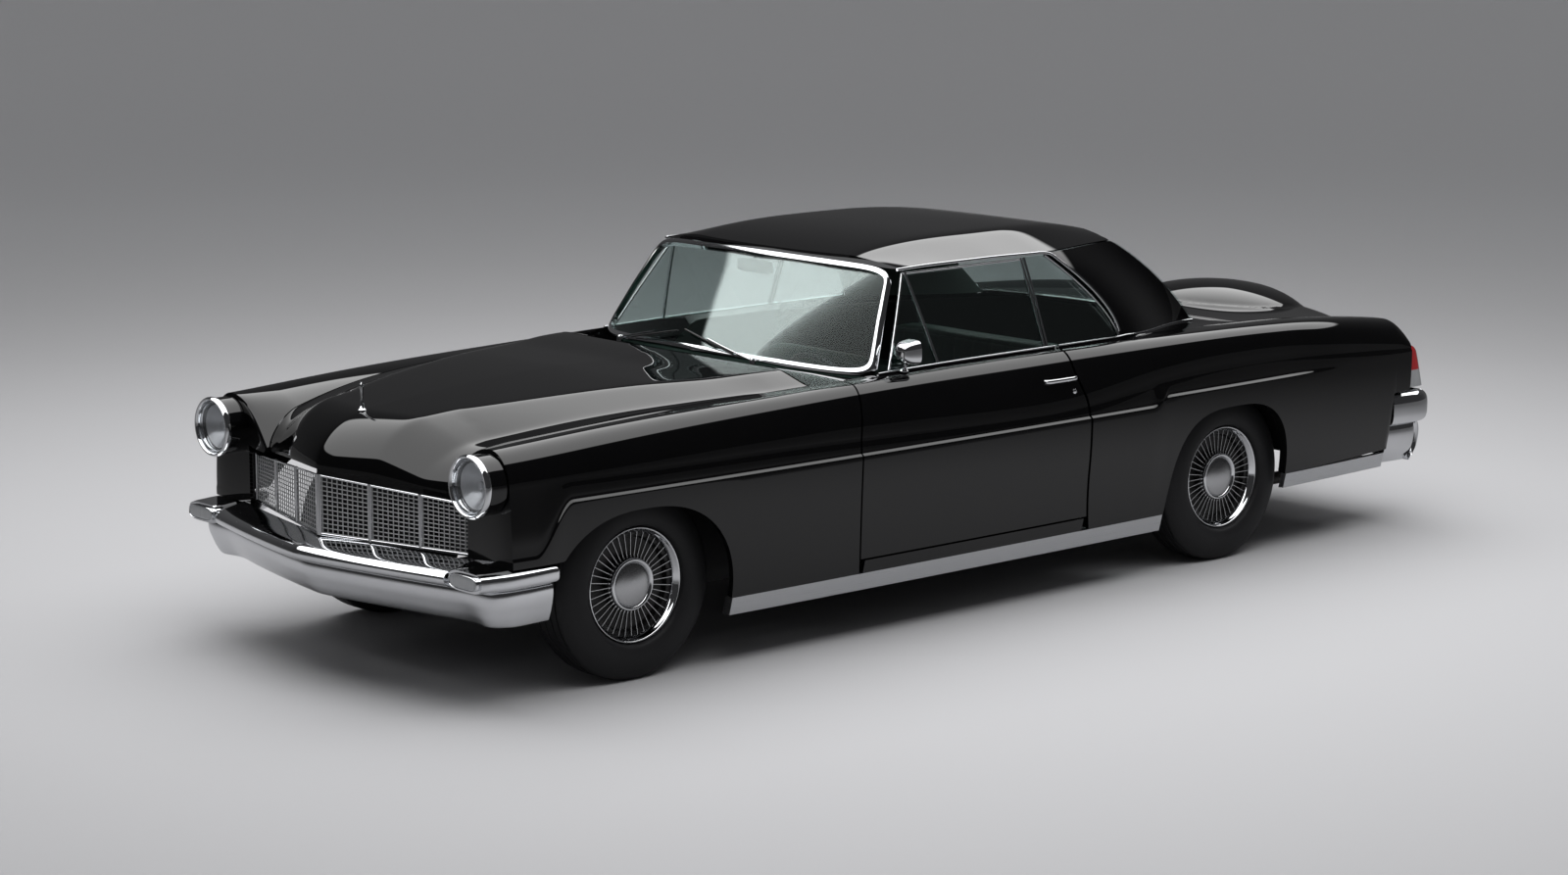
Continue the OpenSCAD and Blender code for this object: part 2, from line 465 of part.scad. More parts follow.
// bumpers: path is plan half curve, the loop is a closed profile of [back, height]
function front_y(x) = -2757 + 136 * pow(abs(x) / 720, 1.25);
module front_bumper() {
  xs = [-728, -560, -380, -200, -80, 0, 80, 200, 380, 560, 728];
  up = [[132, 529.6], [30, 508], [4, 490], [0, 478], [6, 464], [30, 446], [60, 446], [60, 470], [100, 512]];
  low = [[56, 445.5], [50, 424], [70, 370], [112, 312], [126, 316], [86, 376], [72, 440]];
  wrap = [[-2290, 934], [-2400, 940], [-2500, 928], [-2552, 880]];
  ends = [for (w = wrap) [w[1], w[0]]];
  color(bright) {
    bar([for (x = xs) [for (p = up) [x, front_y(x) + p[0], p[1]]]]);
    bar(concat(
      [for (i = [0:3]) [for (p = low) let (d = p[0] - 50) [-ends[i][0] + d * (i < 2 ? 0.55 : 0.5),
        ends[i][1] + d * (i < 2 ? 0.05 : 0.6), p[1]]]],
      [for (x = xs) [for (p = low) [x, front_y(x) + p[0] + 2, p[1]]]],
      [for (i = [3:-1:0]) [for (p = low) let (d = p[0] - 50) [ends[i][0] - d * (i < 2 ? 0.55 : 0.5),
        ends[i][1] + d * (i < 2 ? 0.05 : 0.6), p[1]]]]));
    pair() pod_shape();
  }
}
// end of the upper bar: a rounded pod that carries the parking lamp and runs back to the wheel
module pod_shape() {
  ys = [[-2604, 836, 96, 36], [-2560, 842, 104, 38], [-2480, 862, 98, 38], [-2380, 882, 78, 37], [-2300, 904, 52, 34],
    [-2272, 914, 34, 24]];
  bar([for (s = ys) [for (a = [360 - 22.5:-22.5:0]) [s[1] + s[2] * pow(abs(cos(a)), 0.6) * sign(cos(a)), s[0],
    485.5 + s[3] * pow(abs(sin(a)), 0.7) * sign(sin(a))]]]);
}
module parking_lamps() {
  color([0.9, 0.9, 0.85]) pair() bar([for (s = [[-2604.4, 1], [-2614, 0.94], [-2618, 0.75]])
    [for (a = [0:22.5:340]) [836 + 84 * s[1] * pow(abs(cos(a)), 0.6) * sign(cos(a)), s[0],
      485.5 + 27 * s[1] * pow(abs(sin(a)), 0.7) * sign(sin(a))]]]);
}
function back_y(x) = 2757 - 29 * pow(abs(x) / 890, 2);
// one tier of the rear bumper: straight across the tail, round the corners and along the sides
module rear_tier(prof, set) {
  xs = [-842, -700, -450, -200, 0, 200, 450, 700, 842];
  wrap = [[2462, 888], [2560, 897], [2640, 898], [2700, 882]];
  bar(concat(
    [for (i = [0:3]) [for (p = prof) let (d = p[0]) [wrap[i][1] - set - d * (i < 3 ? 0.62 : 0.5),
      wrap[i][0] - (i < 3 ? 0 : set) - d * [0.02, 0.02, 0.2, 0.6][i], p[1]]]],
    [for (i = [8:-1:0]) [for (p = prof) [xs[i], back_y(xs[i]) - set - p[0], p[1]]]],
    [for (i = [3:-1:0]) [for (p = prof) let (d = p[0]) [-wrap[i][1] + set + d * (i < 3 ? 0.62 : 0.5),
      wrap[i][0] - (i < 3 ? 0 : set) - d * [0.02, 0.02, 0.2, 0.6][i], p[1]]]]));
}
module rear_bumper() {
  color(bright) {
    rear_tier([[132, 607.5], [40, 592], [10, 566], [0, 540], [0, 500], [10, 468], [30, 454], [60, 454], [60, 560],
      [110, 590]], 0);
    rear_tier([[16, 453.5], [4, 430], [0, 400], [14, 340], [48, 292], [60, 278], [68, 284], [34, 344], [20, 400],
      [24, 440]], 40);
  }
}
// head lamps: painted shell, bright rim and lens, turned about the lamp axis
module turned(y, z, x) {
  pair() translate([x, y, z]) rotate([90, 0, 0]) rotate_extrude($fn = 48) children();
}
module headlamp_shells() {
  color(bright) turned(nose_y - 9, lamp_z, lamp_x)
    polygon([[lamp_r - 30, -1.7], [lamp_r - 4, -1.7], [lamp_r - 4, 62], [lamp_r, 66], [lamp_r, 86], [lamp_r - 8, 92],
      [lamp_r - 26, 82], [lamp_r - 30, 70]]);
}
module headlamp_lenses() {
  color([0.92, 0.94, 0.95]) turned(nose_y - 9, lamp_z, lamp_x)
    polygon([[0, 44], [lamp_r - 31, 44], [lamp_r - 31, 72], [lamp_r - 50, 84], [lamp_r - 80, 92], [0, 96]]);
}
// tail lamps: wedges that lean back towards the bumper
module tail_lamps() {
  outer = [[611, 2679], [660, 2663], [720, 2645], [770, 2629], [790, 2610], [800, 2584]];
  y0 = tail_y + 0.5;
  color([0.5, 0.03, 0.03]) pair() bar([for (s = outer) let (y = s[1]) [[755, y0, s[0]], [755, y - 16, s[0]],
    [768, y - 3, s[0]], [800, y, s[0]], [832, y - 3, s[0]], [845, y - 16, s[0]], [845, y0, s[0]]]]);
}

// frame: two rails with kick-ups at both axles and cross members
rail_x = 320;
module chassis_frame() {
  difference() {
    frame_shape();
    for (x = [-75, 75]) translate([x, 2445, 370]) cylinder(h = 80, r = 6.5, $fn = 32);
  }
}
module frame_shape() {
  side = [[-2440, 440], [-1300, 440], [-1150, 305], [872, 305], [1030, 540], [1720, 540], [1880, 485], [2480, 485]];
  color(dark) {
    pair() translate([rail_x, 0, 0]) rotate([90, 0, 90]) linear_extrude(rail_w)
      polygon(concat(side, [for (i = [7:-1:0]) side[i] - [0, i == 4 || i == 5 ? rail_h - 12 : rail_h]]));
    for (s = [[-2420, 350, 60], [-900, 205, 60], [-100, 205, 60], [700, 205, 60], [1750, 450, 50], [2420, 385, 50]])
      block(-rail_x - 1, rail_x + 1, s[0], s[0] + s[2], s[1], s[1] + 40);
    pair() for (y = [-800, 560]) block(rail_x + 10, rail_x + 70, y, y + 60, 180, 200);
  }
}
module floor_pan() {
  color(dark) difference() {
    union() {
      translate([0, 862, 0]) rotate([90, 0, 0]) linear_extrude(1752) polygon([[-769.7, 305.3], [-182, 305.3],
        [-140, 556], [140, 556], [182, 305.3], [769.7, 305.3], [769.7, 317], [192, 317], [150, 568], [-150, 568],
        [-192, 317], [-769.7, 317]]);
      block(-769.7, 769.7, -892, -880, 305.3, 950);
      difference() {
        block(-769.7, 769.7, 850, 862, 305.3, 568);
        translate([0, 870, 0]) rotate([90, 0, 0]) linear_extrude(30) polygon([[-182, 300], [-140, 556], [140, 556],
          [182, 300]]);
      }
      block(-555.7, 555.7, 850, 2470, 556, 568);
    }
    block(-182, 182, -900, -870, 300, 560);
  }
}
module wheel_housings() {
  color(dark) pair() {
    block(545, 557, -2330, -892.3, 730, 820);
    translate([556, axle_b, tyre_r]) rotate([0, 90, 0]) difference() {
      cylinder(h = 270, r = 408, $fn = 64);
      translate([0, 0, 8]) cylinder(h = 263, r = 400, $fn = 64);
      translate([-62, -500, -1]) cube([562, 1000, 300]);
    }
  }
}
module engine() {
  color([0.3, 0.32, 0.33]) {
    block(-engine_w, engine_w, -2120, -1260, 445, 860);
    block(-150, 150, -1261, -960, 360, 600);
    block(-95, 95, -961, -560, 360, 520);
    block(-120, 120, axle_f - 40, axle_f + 40, 400.3, 446);
    block(-60, 60, -890, -850, 245.3, 361);
  }
}
module radiator() {
  color(dark) block(-340, 340, -2415, -2340, 440.3, 760);
}
module rear_axle() {
  color(dark) {
    rod_x(-610, 610, axle_b, tyre_r, axle_r);
    rod_x(-track_r / 2 - 30, track_r / 2 + 30, axle_b, tyre_r, 19);
    rod_x(-110, 110, axle_b, tyre_r, 130);
    rod_y(-559.7, axle_b, 0, 390, 36);
    pair() {
      block(490, 550, 790, 1970, 262, 296);
      block(490, 550, axle_b - 55, axle_b + 55, 290, tyre_r);
      block(rail_x + rail_w, 550, 790, 830, 262, 296);
      block(490, 550, 1930, 1970, 262, 430);
      block(rail_x + rail_w, 550, 1930, 1970, 390, 430);
    }
  }
}
module front_suspension() {
  color(dark) {
    block(-rail_x, rail_x, axle_f - 60, axle_f + 60, 335, 400);
    pair() {
      difference() {
        union() {
          block(rail_x + rail_w, 708, axle_f - 35, axle_f + 35, 236, 258);
          block(rail_x + rail_w, 708, axle_f - 35, axle_f + 35, 452, 472);
          block(rail_x + rail_w, rail_x + rail_w + 30, axle_f - 70, axle_f + 70, 236, 472);
        }
        translate([690, axle_f, 200]) cylinder(h = 300, r = 12.5, $fn = 32);
      }
    }
  }
}
module knuckle_shape() {
  block(668, 712, axle_f - 26, axle_f + 26, 260, 450);
  translate([690, axle_f, 230]) cylinder(h = 250, r = 11.5, $fn = 32);
  rod_x(700, track_f / 2 + 30, axle_f, tyre_r, 19);
  rod_x(724, 730, axle_f, tyre_r, 96);
}
module knuckle_left() {
  color(dark) knuckle_shape();
}
module knuckle_right() {
  color(dark) mirror([1, 0, 0]) knuckle_shape();
}
// wheel about its own centre, outside at +z before it is turned to face +x
module wheel_shape() {
  rotate([0, 90, 0]) rotate_extrude($fn = 64) polygon([[20, 12], [150, 12], [158, -78], [rim_r - 12, -84],
    [rim_r - 0.3, -84], [rim_r - 0.3, 60], [rim_r + 10, 66], [214, 70], [216, 76], [206, 82], [170, 58], [96, 52],
    [90, 66], [60, 76], [0, 78], [0, 36], [20, 36]]);
}
module tyre_shape() {
  w = tyre_w / 2;
  rotate([0, 90, 0]) rotate_extrude($fn = 64) polygon([[rim_r, -w + 32], [rim_r + 12, -w + 14], [rim_r + 60, -w],
    [tyre_r - 60, -w + 2], [tyre_r - 20, -w + 18], [tyre_r - 4, -w + 34], [tyre_r, -w + 60], [tyre_r, w - 60],
    [tyre_r - 4, w - 34], [tyre_r - 20, w - 18], [tyre_r - 60, w - 2], [rim_r + 60, w], [rim_r + 34, w - 22],
    [rim_r + 24, w - 40], [rim_r + 12, w - 48], [rim_r, w - 50]]);
}
module at_wheel(x, y) {
  translate([x, y, tyre_r]) mirror([x < 0 ? 1 : 0, 0, 0]) children();
}
module wheel_front_left() {
  color(bright) at_wheel(track_f / 2, axle_f) wheel_shape();
}
module wheel_front_right() {
  color(bright) at_wheel(-track_f / 2, axle_f) wheel_shape();
}
module wheel_rear_left() {
  color(bright) at_wheel(track_r / 2, axle_b) wheel_shape();
}
module wheel_rear_right() {
  color(bright) at_wheel(-track_r / 2, axle_b) wheel_shape();
}
module tyre_front_left() {
  color(dark) at_wheel(track_f / 2, axle_f) tyre_shape();
}
module tyre_front_right() {
  color(dark) at_wheel(-track_f / 2, axle_f) tyre_shape();
}
module tyre_rear_left() {
  color(dark) at_wheel(track_r / 2, axle_b) tyre_shape();
}
module tyre_rear_right() {
  color(dark) at_wheel(-track_r / 2, axle_b) tyre_shape();
}
module exhaust() {
  color([0.4, 0.4, 0.4]) pair() {
    rod_y(-1150, 2600, 606, 240, pipe_r);
    rod_y(-300, 500, 606, 240, 56);
    block(596, 616, 600, 620, 240, 305);
    block(596, 616, -700, -680, 240, 305);
  }
}
module fuel_tank() {
  color(dark) block(-rail_x + 0.3, rail_x - 0.3, 1950, 2380, 330, 520);
}
module dashboard() {
  color([0.1, 0.12, 0.1]) block(-769.7, 769.7, -879.7, -640, 832, 950);
}
// column runs down and forward from the steering wheel
helm = [380, -455, 850];
helm_tilt = 58;
module steering_column() {
  color(dark) {
    translate(helm) rotate([-helm_tilt, 0, 0]) translate([0, 0, -440]) cylinder(h = 409.5, r = 24, $fn = 32);
    block(360, 400, -720, -690, 700, 832);
  }
}
module steering_wheel() {
  color([0.1, 0.12, 0.1]) translate(helm) rotate([-helm_tilt, 0, 0]) {
    rotate_extrude($fn = 48) translate([helm_r, 0]) circle(r = 12, $fn = 24);
    translate([-helm_r, -14, -8]) cube([2 * helm_r, 28, 14]);
    translate([0, 0, -30]) cylinder(h = 42, r = 40, $fn = 32);
  }
}
module seat(w, y, d, back) {
  block(-w, w, y, y + d, 317.3, seat_z);
  translate([0, y + d - 110, seat_z - 40]) rotate([-14, 0, 0]) translate([-w, 0, 0]) cube([2 * w, 120, back]);
}
module front_seat() {
  color([0.1, 0.13, 0.11]) difference() {
    seat(seat_w, -330, 480, 400);
    translate([0, 300, 0]) rotate([90, 0, 0]) linear_extrude(900) polygon([[-200, 300], [-156, 576], [156, 576],
      [200, 300]]);
  }
}
module rear_seat() {
  color([0.1, 0.13, 0.11]) difference() {
    union() {
      block(-540, 540, 420, 849.7, 317.3, seat_z);
      block(-540, 540, 700, 849.7, seat_z - 10, 940);
    }
    translate([0, 900, 0]) rotate([90, 0, 0]) linear_extrude(900) polygon([[-200, 300], [-156, 576], [156, 576],
      [200, 300]]);
  }
}

chassis_frame();
floor_pan();
wheel_housings();
engine();
radiator();
rear_axle();
front_suspension();
exhaust();
fuel_tank();
dashboard();
steering_column();
front_seat();
rear_seat();
front_fenders();
quarter_panels();
sills();
hinge_pillars();
rocker_mouldings();
cowl_panel();
windshield_frame();
windshield_glass();
roof();
sail_panels();
rear_glass();
quarter_glass();
rear_deck();
trunk_hinge_pin();
tail_panel();
grille();
front_bumper();
rear_bumper();
headlamp_shells();
headlamp_lenses();
parking_lamps();
tail_lamps();
hood();
trunk_lid();
door_left();
door_right();
door_glass_left();
door_glass_right();
door_mirror();
steering_wheel();
knuckle_left();
knuckle_right();
wheel_front_left();
wheel_front_right();
wheel_rear_left();
wheel_rear_right();
tyre_front_left();
tyre_front_right();
tyre_rear_left();
tyre_rear_right();
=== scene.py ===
"""Looks for a two-door luxury coupe of the middle 1950s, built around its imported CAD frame."""

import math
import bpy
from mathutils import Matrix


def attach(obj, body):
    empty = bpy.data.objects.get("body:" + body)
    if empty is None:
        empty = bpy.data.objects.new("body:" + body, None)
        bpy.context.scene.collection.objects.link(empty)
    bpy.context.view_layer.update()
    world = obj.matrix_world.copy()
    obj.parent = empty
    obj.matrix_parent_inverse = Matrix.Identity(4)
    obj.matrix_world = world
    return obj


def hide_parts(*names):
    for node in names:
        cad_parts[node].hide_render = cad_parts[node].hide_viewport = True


bl_info = {
    "name": "Fifties Coupe",
    "version": (1, 0, 0),
    "blender": (4, 5, 0),
    "location": "View3D > Sidebar > Coupe",
    "description": "Builds the panels, glass, brightwork, wheels and cabin of a 1950s coupe",
    "category": "Object",
}

import bpy
import numpy as np

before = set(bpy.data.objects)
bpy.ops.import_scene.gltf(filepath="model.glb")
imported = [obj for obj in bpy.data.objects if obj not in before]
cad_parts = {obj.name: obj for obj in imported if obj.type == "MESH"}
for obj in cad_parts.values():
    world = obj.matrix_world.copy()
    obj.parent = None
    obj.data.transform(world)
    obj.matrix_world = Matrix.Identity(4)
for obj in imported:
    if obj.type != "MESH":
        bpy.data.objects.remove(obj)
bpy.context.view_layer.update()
MM = 0.001

# Sizes in millimetres, the CAD solids' own values down to LAMP_R
BODY_HALF = 985.0
CREASE_Z = 733.0
CREASE_STEP = 12.0
KICK_UP = 34.0
SKIN = 24.0
GAP = 8.0
DOOR_BOTTOM = 326.0
DOOR_INNER = 800.0
ROOF_Z = 1468.0
DRIP_X = 700.0
GLASS = 6.0
TYRE_R = 357.0
TYRE_W = 204.0
RIM_R = 190.0
TRACK_F = 1486.0
TRACK_B = 1524.0
AXLE_F = -1823.0
AXLE_B = 1377.0
LAMP_X = 816.0
LAMP_Z = 816.0
LAMP_R = 116.0

# Places and sizes of the surfaces and small pieces
NOSE_Y = -2475.0
TAIL_Y = 2548.0
ARCH_F = AXLE_F - 57.0
ARCH_B = AXLE_B - 64.0
LID_Y0 = 1600.0
SEAT_HALF = 700.0
DOOR_PIN = (962.0, -785.0)
HINGE_Z = (615, 695)
DOOR_FRONT = -836.0
DOOR_BACK = 424.0
SILL_Z = 266.0
TAIL_LOW_Z = 608.0
ARCH_FRONT = (445, 472, 2.45)
ARCH_REAR = (388, 485, 3.0)
GLASS_FRONT = (-566.0, -366.0)
GLASS_REAR = (300.0, 296.0)
SAIL_FOOT_Y = 1385.0
GRILLE_HALF = 711.0
GRILLE_DROP = 38.0
POD_Z = 485.5
TAIL_SPLIT_Z = 684.0
LAMP = (LAMP_X, NOSE_Y - 9, LAMP_Z)
MIRROR = (868.0, 1086.0)
HELM = (380.0, -455.0, 850.0)
HELM_RAKE = 58.0
CUSHION_Z = (404.0, 560.0)
FINIAL_Y = -2440.0

# The photo's camera, in metres, degrees and millimetres of focal length
EYE = (10.69567, -9.92883, 3.187)
EYE_PITCH = 10.138
EYE_YAW = 48.179
EYE_LENS = 82.137

# Body stations every PITCH: inset of the crease, crown x, crown z, start of the shoulder z,
# squareness of the shoulder, panel edge x, panel edge z
FIRST = -2800.0
PITCH = 400.0
STATION = np.array([
    [62, 812, 925, 812, 2.0, 480, 790],
    [37, 816, 941, 814, 2.0, 590, 880],
    [22, 824, 967, 806, 2.1, 700, 952],
    [13, 838, 981, 802, 2.2, 745, 977],
    [6, 854, 989, 800, 2.2, 795, 990],
    [2, 860, 999, 790, 2.2, 830, 1004],
    [0, 853, 1008, 775, 2.1, 836, 1015],
    [0, 848, 1010, 765, 2.0, 836, 1018],
    [2, 848, 1010, 765, 2.0, 836, 1018],
    [5, 854, 1010, 830, 2.6, 832, 1018],
    [11, 856, 1006, 856, 2.9, 795, 1008],
    [20, 850, 998, 856, 2.8, 720, 986],
    [36, 836, 980, 836, 2.5, 670, 962],
    [62, 812, 938, 800, 2.2, 625, 918],
    [95, 785, 880, 770, 2.0, 570, 860],
], float)


# Small maths on whole arrays


def mix(a, b, t):
    """Straight blend from a to b."""
    return a + (b - a) * t


def smooth(a, b, x):
    """Cubic step from 0 at a to 1 at b."""
    t = np.clip((x - a) / (b - a), 0, 1)
    return t * t * (3 - 2 * t)


def share(count):
    """Even steps from 0 to 1."""
    return np.linspace(0, 1, count)


def turn(count):
    """Even angles round a full turn, without the last."""
    return np.linspace(0, 2 * np.pi, count, endpoint=False)


def signed_power(x, e):
    """|x| to the power e with the sign of x."""
    return np.sign(x) * np.abs(x) ** e


def stack(x, y, z):
    """Points from three arrays of any shapes that fit together."""
    return np.stack(np.broadcast_arrays(x, y, z), -1).astype(float)


def station(y):
    """Uniform cubic B-spline through the station table, one row of columns for each y."""
    u = (np.asarray(y, float) - FIRST) / PITCH
    i = np.floor(u).astype(int)
    f = u - i
    w = np.stack([(1 - f) ** 3, 3 * f**3 - 6 * f**2 + 4, -3 * f**3 + 3 * f**2 + 3 * f + 1, f**3], -1) / 6
    rows = np.clip(i[..., None] + np.arange(-1, 3), 0, len(STATION) - 1)
    return np.einsum("...k,...kc->...c", w, STATION[rows])


# The body surface


def crease(y):
    """Height of the side crease: level, a kick behind the door, a sweep down ahead of the front wheel."""
    return CREASE_Z + KICK_UP * smooth(790, 905, y) - 183 * smooth(-2205, -2375, y)


def roll(d, a):
    """Quarter ellipse, 1 at d = 0 and 0 from d = a on."""
    return 1 - np.sqrt(np.clip(1 - np.clip((a - d) / a, 0, 1) ** 2, 0, 1))


def low_x(y, z):
    """Lower side: a parabola that leaves the crease upright and pulls in towards the sill."""
    t = (z - 200) / (crease(y) - 200)
    return BODY_HALF - station(y)[..., 0] - 78 * np.clip(1 - t, 0, None) ** 2


def skin_point(y, r, z_low, step=CREASE_STEP):
    """Half section at y: r 0-1 lower side, 1-2 step, 2-3 upper side, 3-4 superellipse shoulder, 4-5 crown to edge."""
    y, r, z_low = np.broadcast_arrays(np.asarray(y, float), np.asarray(r, float), np.asarray(z_low, float))
    s = station(y)
    c = crease(y)
    w = BODY_HALF - s[..., 0]
    h = CREASE_STEP + 2
    k = np.where(y < 2450, 1, np.sqrt(np.clip(1 - ((y - 2450) / 120) ** 2, 0.05, 1)))
    full = step * (1 - smooth(1650, 2050, y))
    st = full * smooth(0, 48, np.abs(y - 850)) * mix(0.25, 1, smooth(-2340, -2200, y))
    sp = np.maximum(c + h + 12, c + h + (s[..., 3] - c - h) * k)
    cz = c + (s[..., 2] - c) * k
    ez = c + (s[..., 6] - c) * k
    ez = ez - (ez - 743) * roll(y - NOSE_Y, 170)
    t = np.clip(r, 0, 1)
    z = mix(z_low, c, t)
    x = low_x(y, z)
    t = r - 1
    x = np.where(r > 1, w - st * smooth(0, 1, t), x)
    z = np.where(r > 1, c + h * t, z)
    t = r - 2
    x = np.where(r > 2, w - mix(st, full, smooth(0, 1, t)) - 5 * t * t, x)
    z = np.where(r > 2, mix(c + h, sp, t), z)
    a = np.clip(r - 3, 0, 1) * np.pi / 2
    e = 2 / s[..., 4]
    x = np.where(r > 3, s[..., 1] + (w - full - 5 - s[..., 1]) * np.clip(np.cos(a), 0, 1) ** e, x)
    z = np.where(r > 3, sp + (cz - sp) * np.clip(np.sin(a), 0, 1) ** e, z)
    t = r - 4
    x = np.where(r > 4, mix(s[..., 1], s[..., 5], t), x)
    z = np.where(r > 4, cz - (cz - ez) * t * t, z)
    return stack(x, y, z)


def cut_front(z):
    """Front edge of the door by height."""
    return DOOR_FRONT + 38 * ((z - 640) / 360) ** 2


def cut_back(z):
    """Rear edge of the door by height."""
    return DOOR_BACK + 39 * np.clip((530 - z) / 244, 0, None) ** 2 - 62 * smooth(760, 950, z)


def cut_point(y, r, z_low, step, cut, k):
    """Skin point shifted along y so that edges follow a door cut with strength k."""
    base = {cut_front: DOOR_FRONT, cut_back: DOOR_BACK}[cut]
    z = skin_point(y, r, z_low, step)[..., 2]
    return skin_point(y + k * (cut(z) - base), r, z_low, step)


def inward(y, r, z_low, cut, k, t):
    """The same point on the surface without its step, moved in by t along the section's normal."""
    a = cut_point(y, np.maximum(0, r - 0.03), z_low, 0, cut, k)
    b = cut_point(y, np.minimum(5, r + 0.03), z_low, 0, cut, k)
    p = cut_point(y, r, z_low, 0, cut, k)
    q = b - a
    n = np.hypot(q[..., 0], q[..., 2]) + 1e-9
    return p + stack(-t * q[..., 2] / n, 0 * n, t * q[..., 0] / n)


def arch(y, centre, a, b, n):
    """Wheel arch as a superellipse over the sill."""
    d = np.clip(np.abs(y - centre) / a, 0, 1)
    return np.where(d >= 1, 0, 200 + b * (1 - d**n) ** (1 / n))


def fender_low(y):
    """Lower edge of the front fender."""
    return np.maximum(np.where(y < ARCH_F, 524, SILL_Z), arch(y, ARCH_F, *ARCH_FRONT))


def quarter_low(y):
    """Lower edge of the rear quarter."""
    base = np.where(y < ARCH_B, SILL_Z, np.where(y < 2425, 340 + 0.021 * (y - 1735), TAIL_LOW_Z))
    return np.maximum(base, arch(y, ARCH_B, *ARCH_REAR))


def arch_columns(centre, sizes, first, count):
    """Columns crowded where the arch is steep, from first degrees to as many short of half a turn."""
    a, _, n = sizes
    t = np.radians(np.linspace(first, 180 - first, count))
    return centre - a * signed_power(np.cos(t), 2 / n)


def section_rows(low, shoulder):
    """Row numbers r from the sill to the panel edge."""
    return np.concatenate([
        share(low), np.linspace(1, 2, 9)[1:], np.linspace(2, 3, 8)[1:],
        np.linspace(3, 4, shoulder)[1:], np.linspace(4, 5, 18)[1:],
    ])


# Meshes: a part is a triple of points, quads and the material number of each quad


def outward(points, faces, tags=None):
    """The part with its quads turned to face out, told by the sign of its volume."""
    points, faces = np.asarray(points, float), np.asarray(faces, int)
    p = points[faces] - points.mean(0)
    volume = np.einsum("ij,ij->", p[:, 0], np.cross(p[:, 1], p[:, 2]) + np.cross(p[:, 2], p[:, 3]))
    tags = np.zeros(len(faces), np.int32) if tags is None else np.asarray(tags, np.int32)
    return points, faces if volume > 0 else faces[:, ::-1], tags


def make_object(name, part, *materials, sharp=40):
    """Object at the origin from a part in millimetres."""
    points, faces, tags = part
    mesh = bpy.data.meshes.new(name)
    mesh.from_pydata((points * MM).tolist(), [], faces.tolist())
    for m in materials:
        mesh.materials.append(finishes()[m])
    mesh.polygons.foreach_set("material_index", tags)
    mesh.polygons.foreach_set("use_smooth", np.ones(len(faces), bool))
    if sharp:
        mesh.set_sharp_from_angle(angle=math.radians(sharp))
    mesh.update()
    obj = bpy.data.objects.new(name, mesh)
    bpy.context.scene.collection.objects.link(obj)
    return obj


def grid_quads(m, n, wrap_m=False, wrap_n=False):
    """Quads of an m by n grid of points, closed round either way if asked."""
    i = np.arange(m if wrap_m else m - 1)[:, None]
    j = np.arange(n if wrap_n else n - 1)[None, :]
    i2, j2 = (i + 1) % m, (j + 1) % n
    return np.stack([i * n + j, i * n + j2, i2 * n + j2, i2 * n + j], -1).reshape(-1, 4)


def sheet(outer, inner):
    """Closed sheet between two grids; its inner face has material 1."""
    m, n = outer.shape[:2]
    o = m * n
    front = grid_quads(m, n)
    ring = np.concatenate([
        np.arange(n), np.arange(2 * n - 1, o, n), np.arange(o - 2, o - n - 1, -1), np.arange(o - 2 * n, 0, -n)])
    nxt = np.roll(ring, -1)
    rim = np.stack([nxt, ring, ring + o, nxt + o], -1)
    tags = np.repeat([0, 1, 0], [len(front), len(front), len(rim)])
    points = np.concatenate([outer.reshape(-1, 3), inner.reshape(-1, 3)])
    return outward(points, np.concatenate([front, front[:, ::-1] + o, rim]), tags)


def tube(loops, wrap=False):
    """Bar through closed loops of an even number of points; its ends are closed by strips of quads."""
    m, n = loops.shape[:2]
    faces = [grid_quads(m, n, wrap, True)]
    if not wrap:
        k = np.arange(n // 2 - 1)
        cap = np.stack([k, k + 1, n - 2 - k, n - 1 - k], -1)
        faces += [cap[:, ::-1], cap + (m - 1) * n]
    return outward(loops.reshape(-1, 3), np.concatenate(faces))


def flipped(part):
    """Mirror image of a part in the plane x = 0."""
    return part[0] * [-1, 1, 1], part[1][:, ::-1], part[2]


def joined(*parts):
    """Several parts as one."""
    first = np.cumsum([0] + [len(p[0]) for p in parts])
    return (np.concatenate([p[0] for p in parts]), np.concatenate([p[1] + n for p, n in zip(parts, first)]),
            np.concatenate([p[2] for p in parts]))


def both(part):
    """A part and its mirror image."""
    return joined(part, flipped(part))


def tagged(part, tag):
    """The part with one material number."""
    return part[0], part[1], np.full(len(part[1]), tag, np.int32)


def raked(part, angle, pivot, to):
    """The part turned about the x axis through pivot, with pivot brought to another place."""
    q = part[0] - pivot
    k, m = math.cos(angle), math.sin(angle)
    return stack(q[:, 0], k * q[:, 1] + m * q[:, 2], k * q[:, 2] - m * q[:, 1]) + to, part[1], part[2]


def revolve(profile, steps, centre=(0, 0, 0), axis="x", sign=1, wrap=False):
    """Profile of [radius, along] turned about an axis through centre; closed at small end rings unless it wraps."""
    profile = np.asarray(profile, float)
    t = turn(steps)[None, :]
    c, s = profile[:, :1] * np.cos(t), profile[:, :1] * np.sin(t)
    a = np.broadcast_to(profile[:, 1:] * sign, c.shape)
    p = {"x": (a, c, s), "y": (s, a, c), "z": (c, s, a)}[axis]
    return tube(stack(*p) + np.asarray(centre, float), wrap)


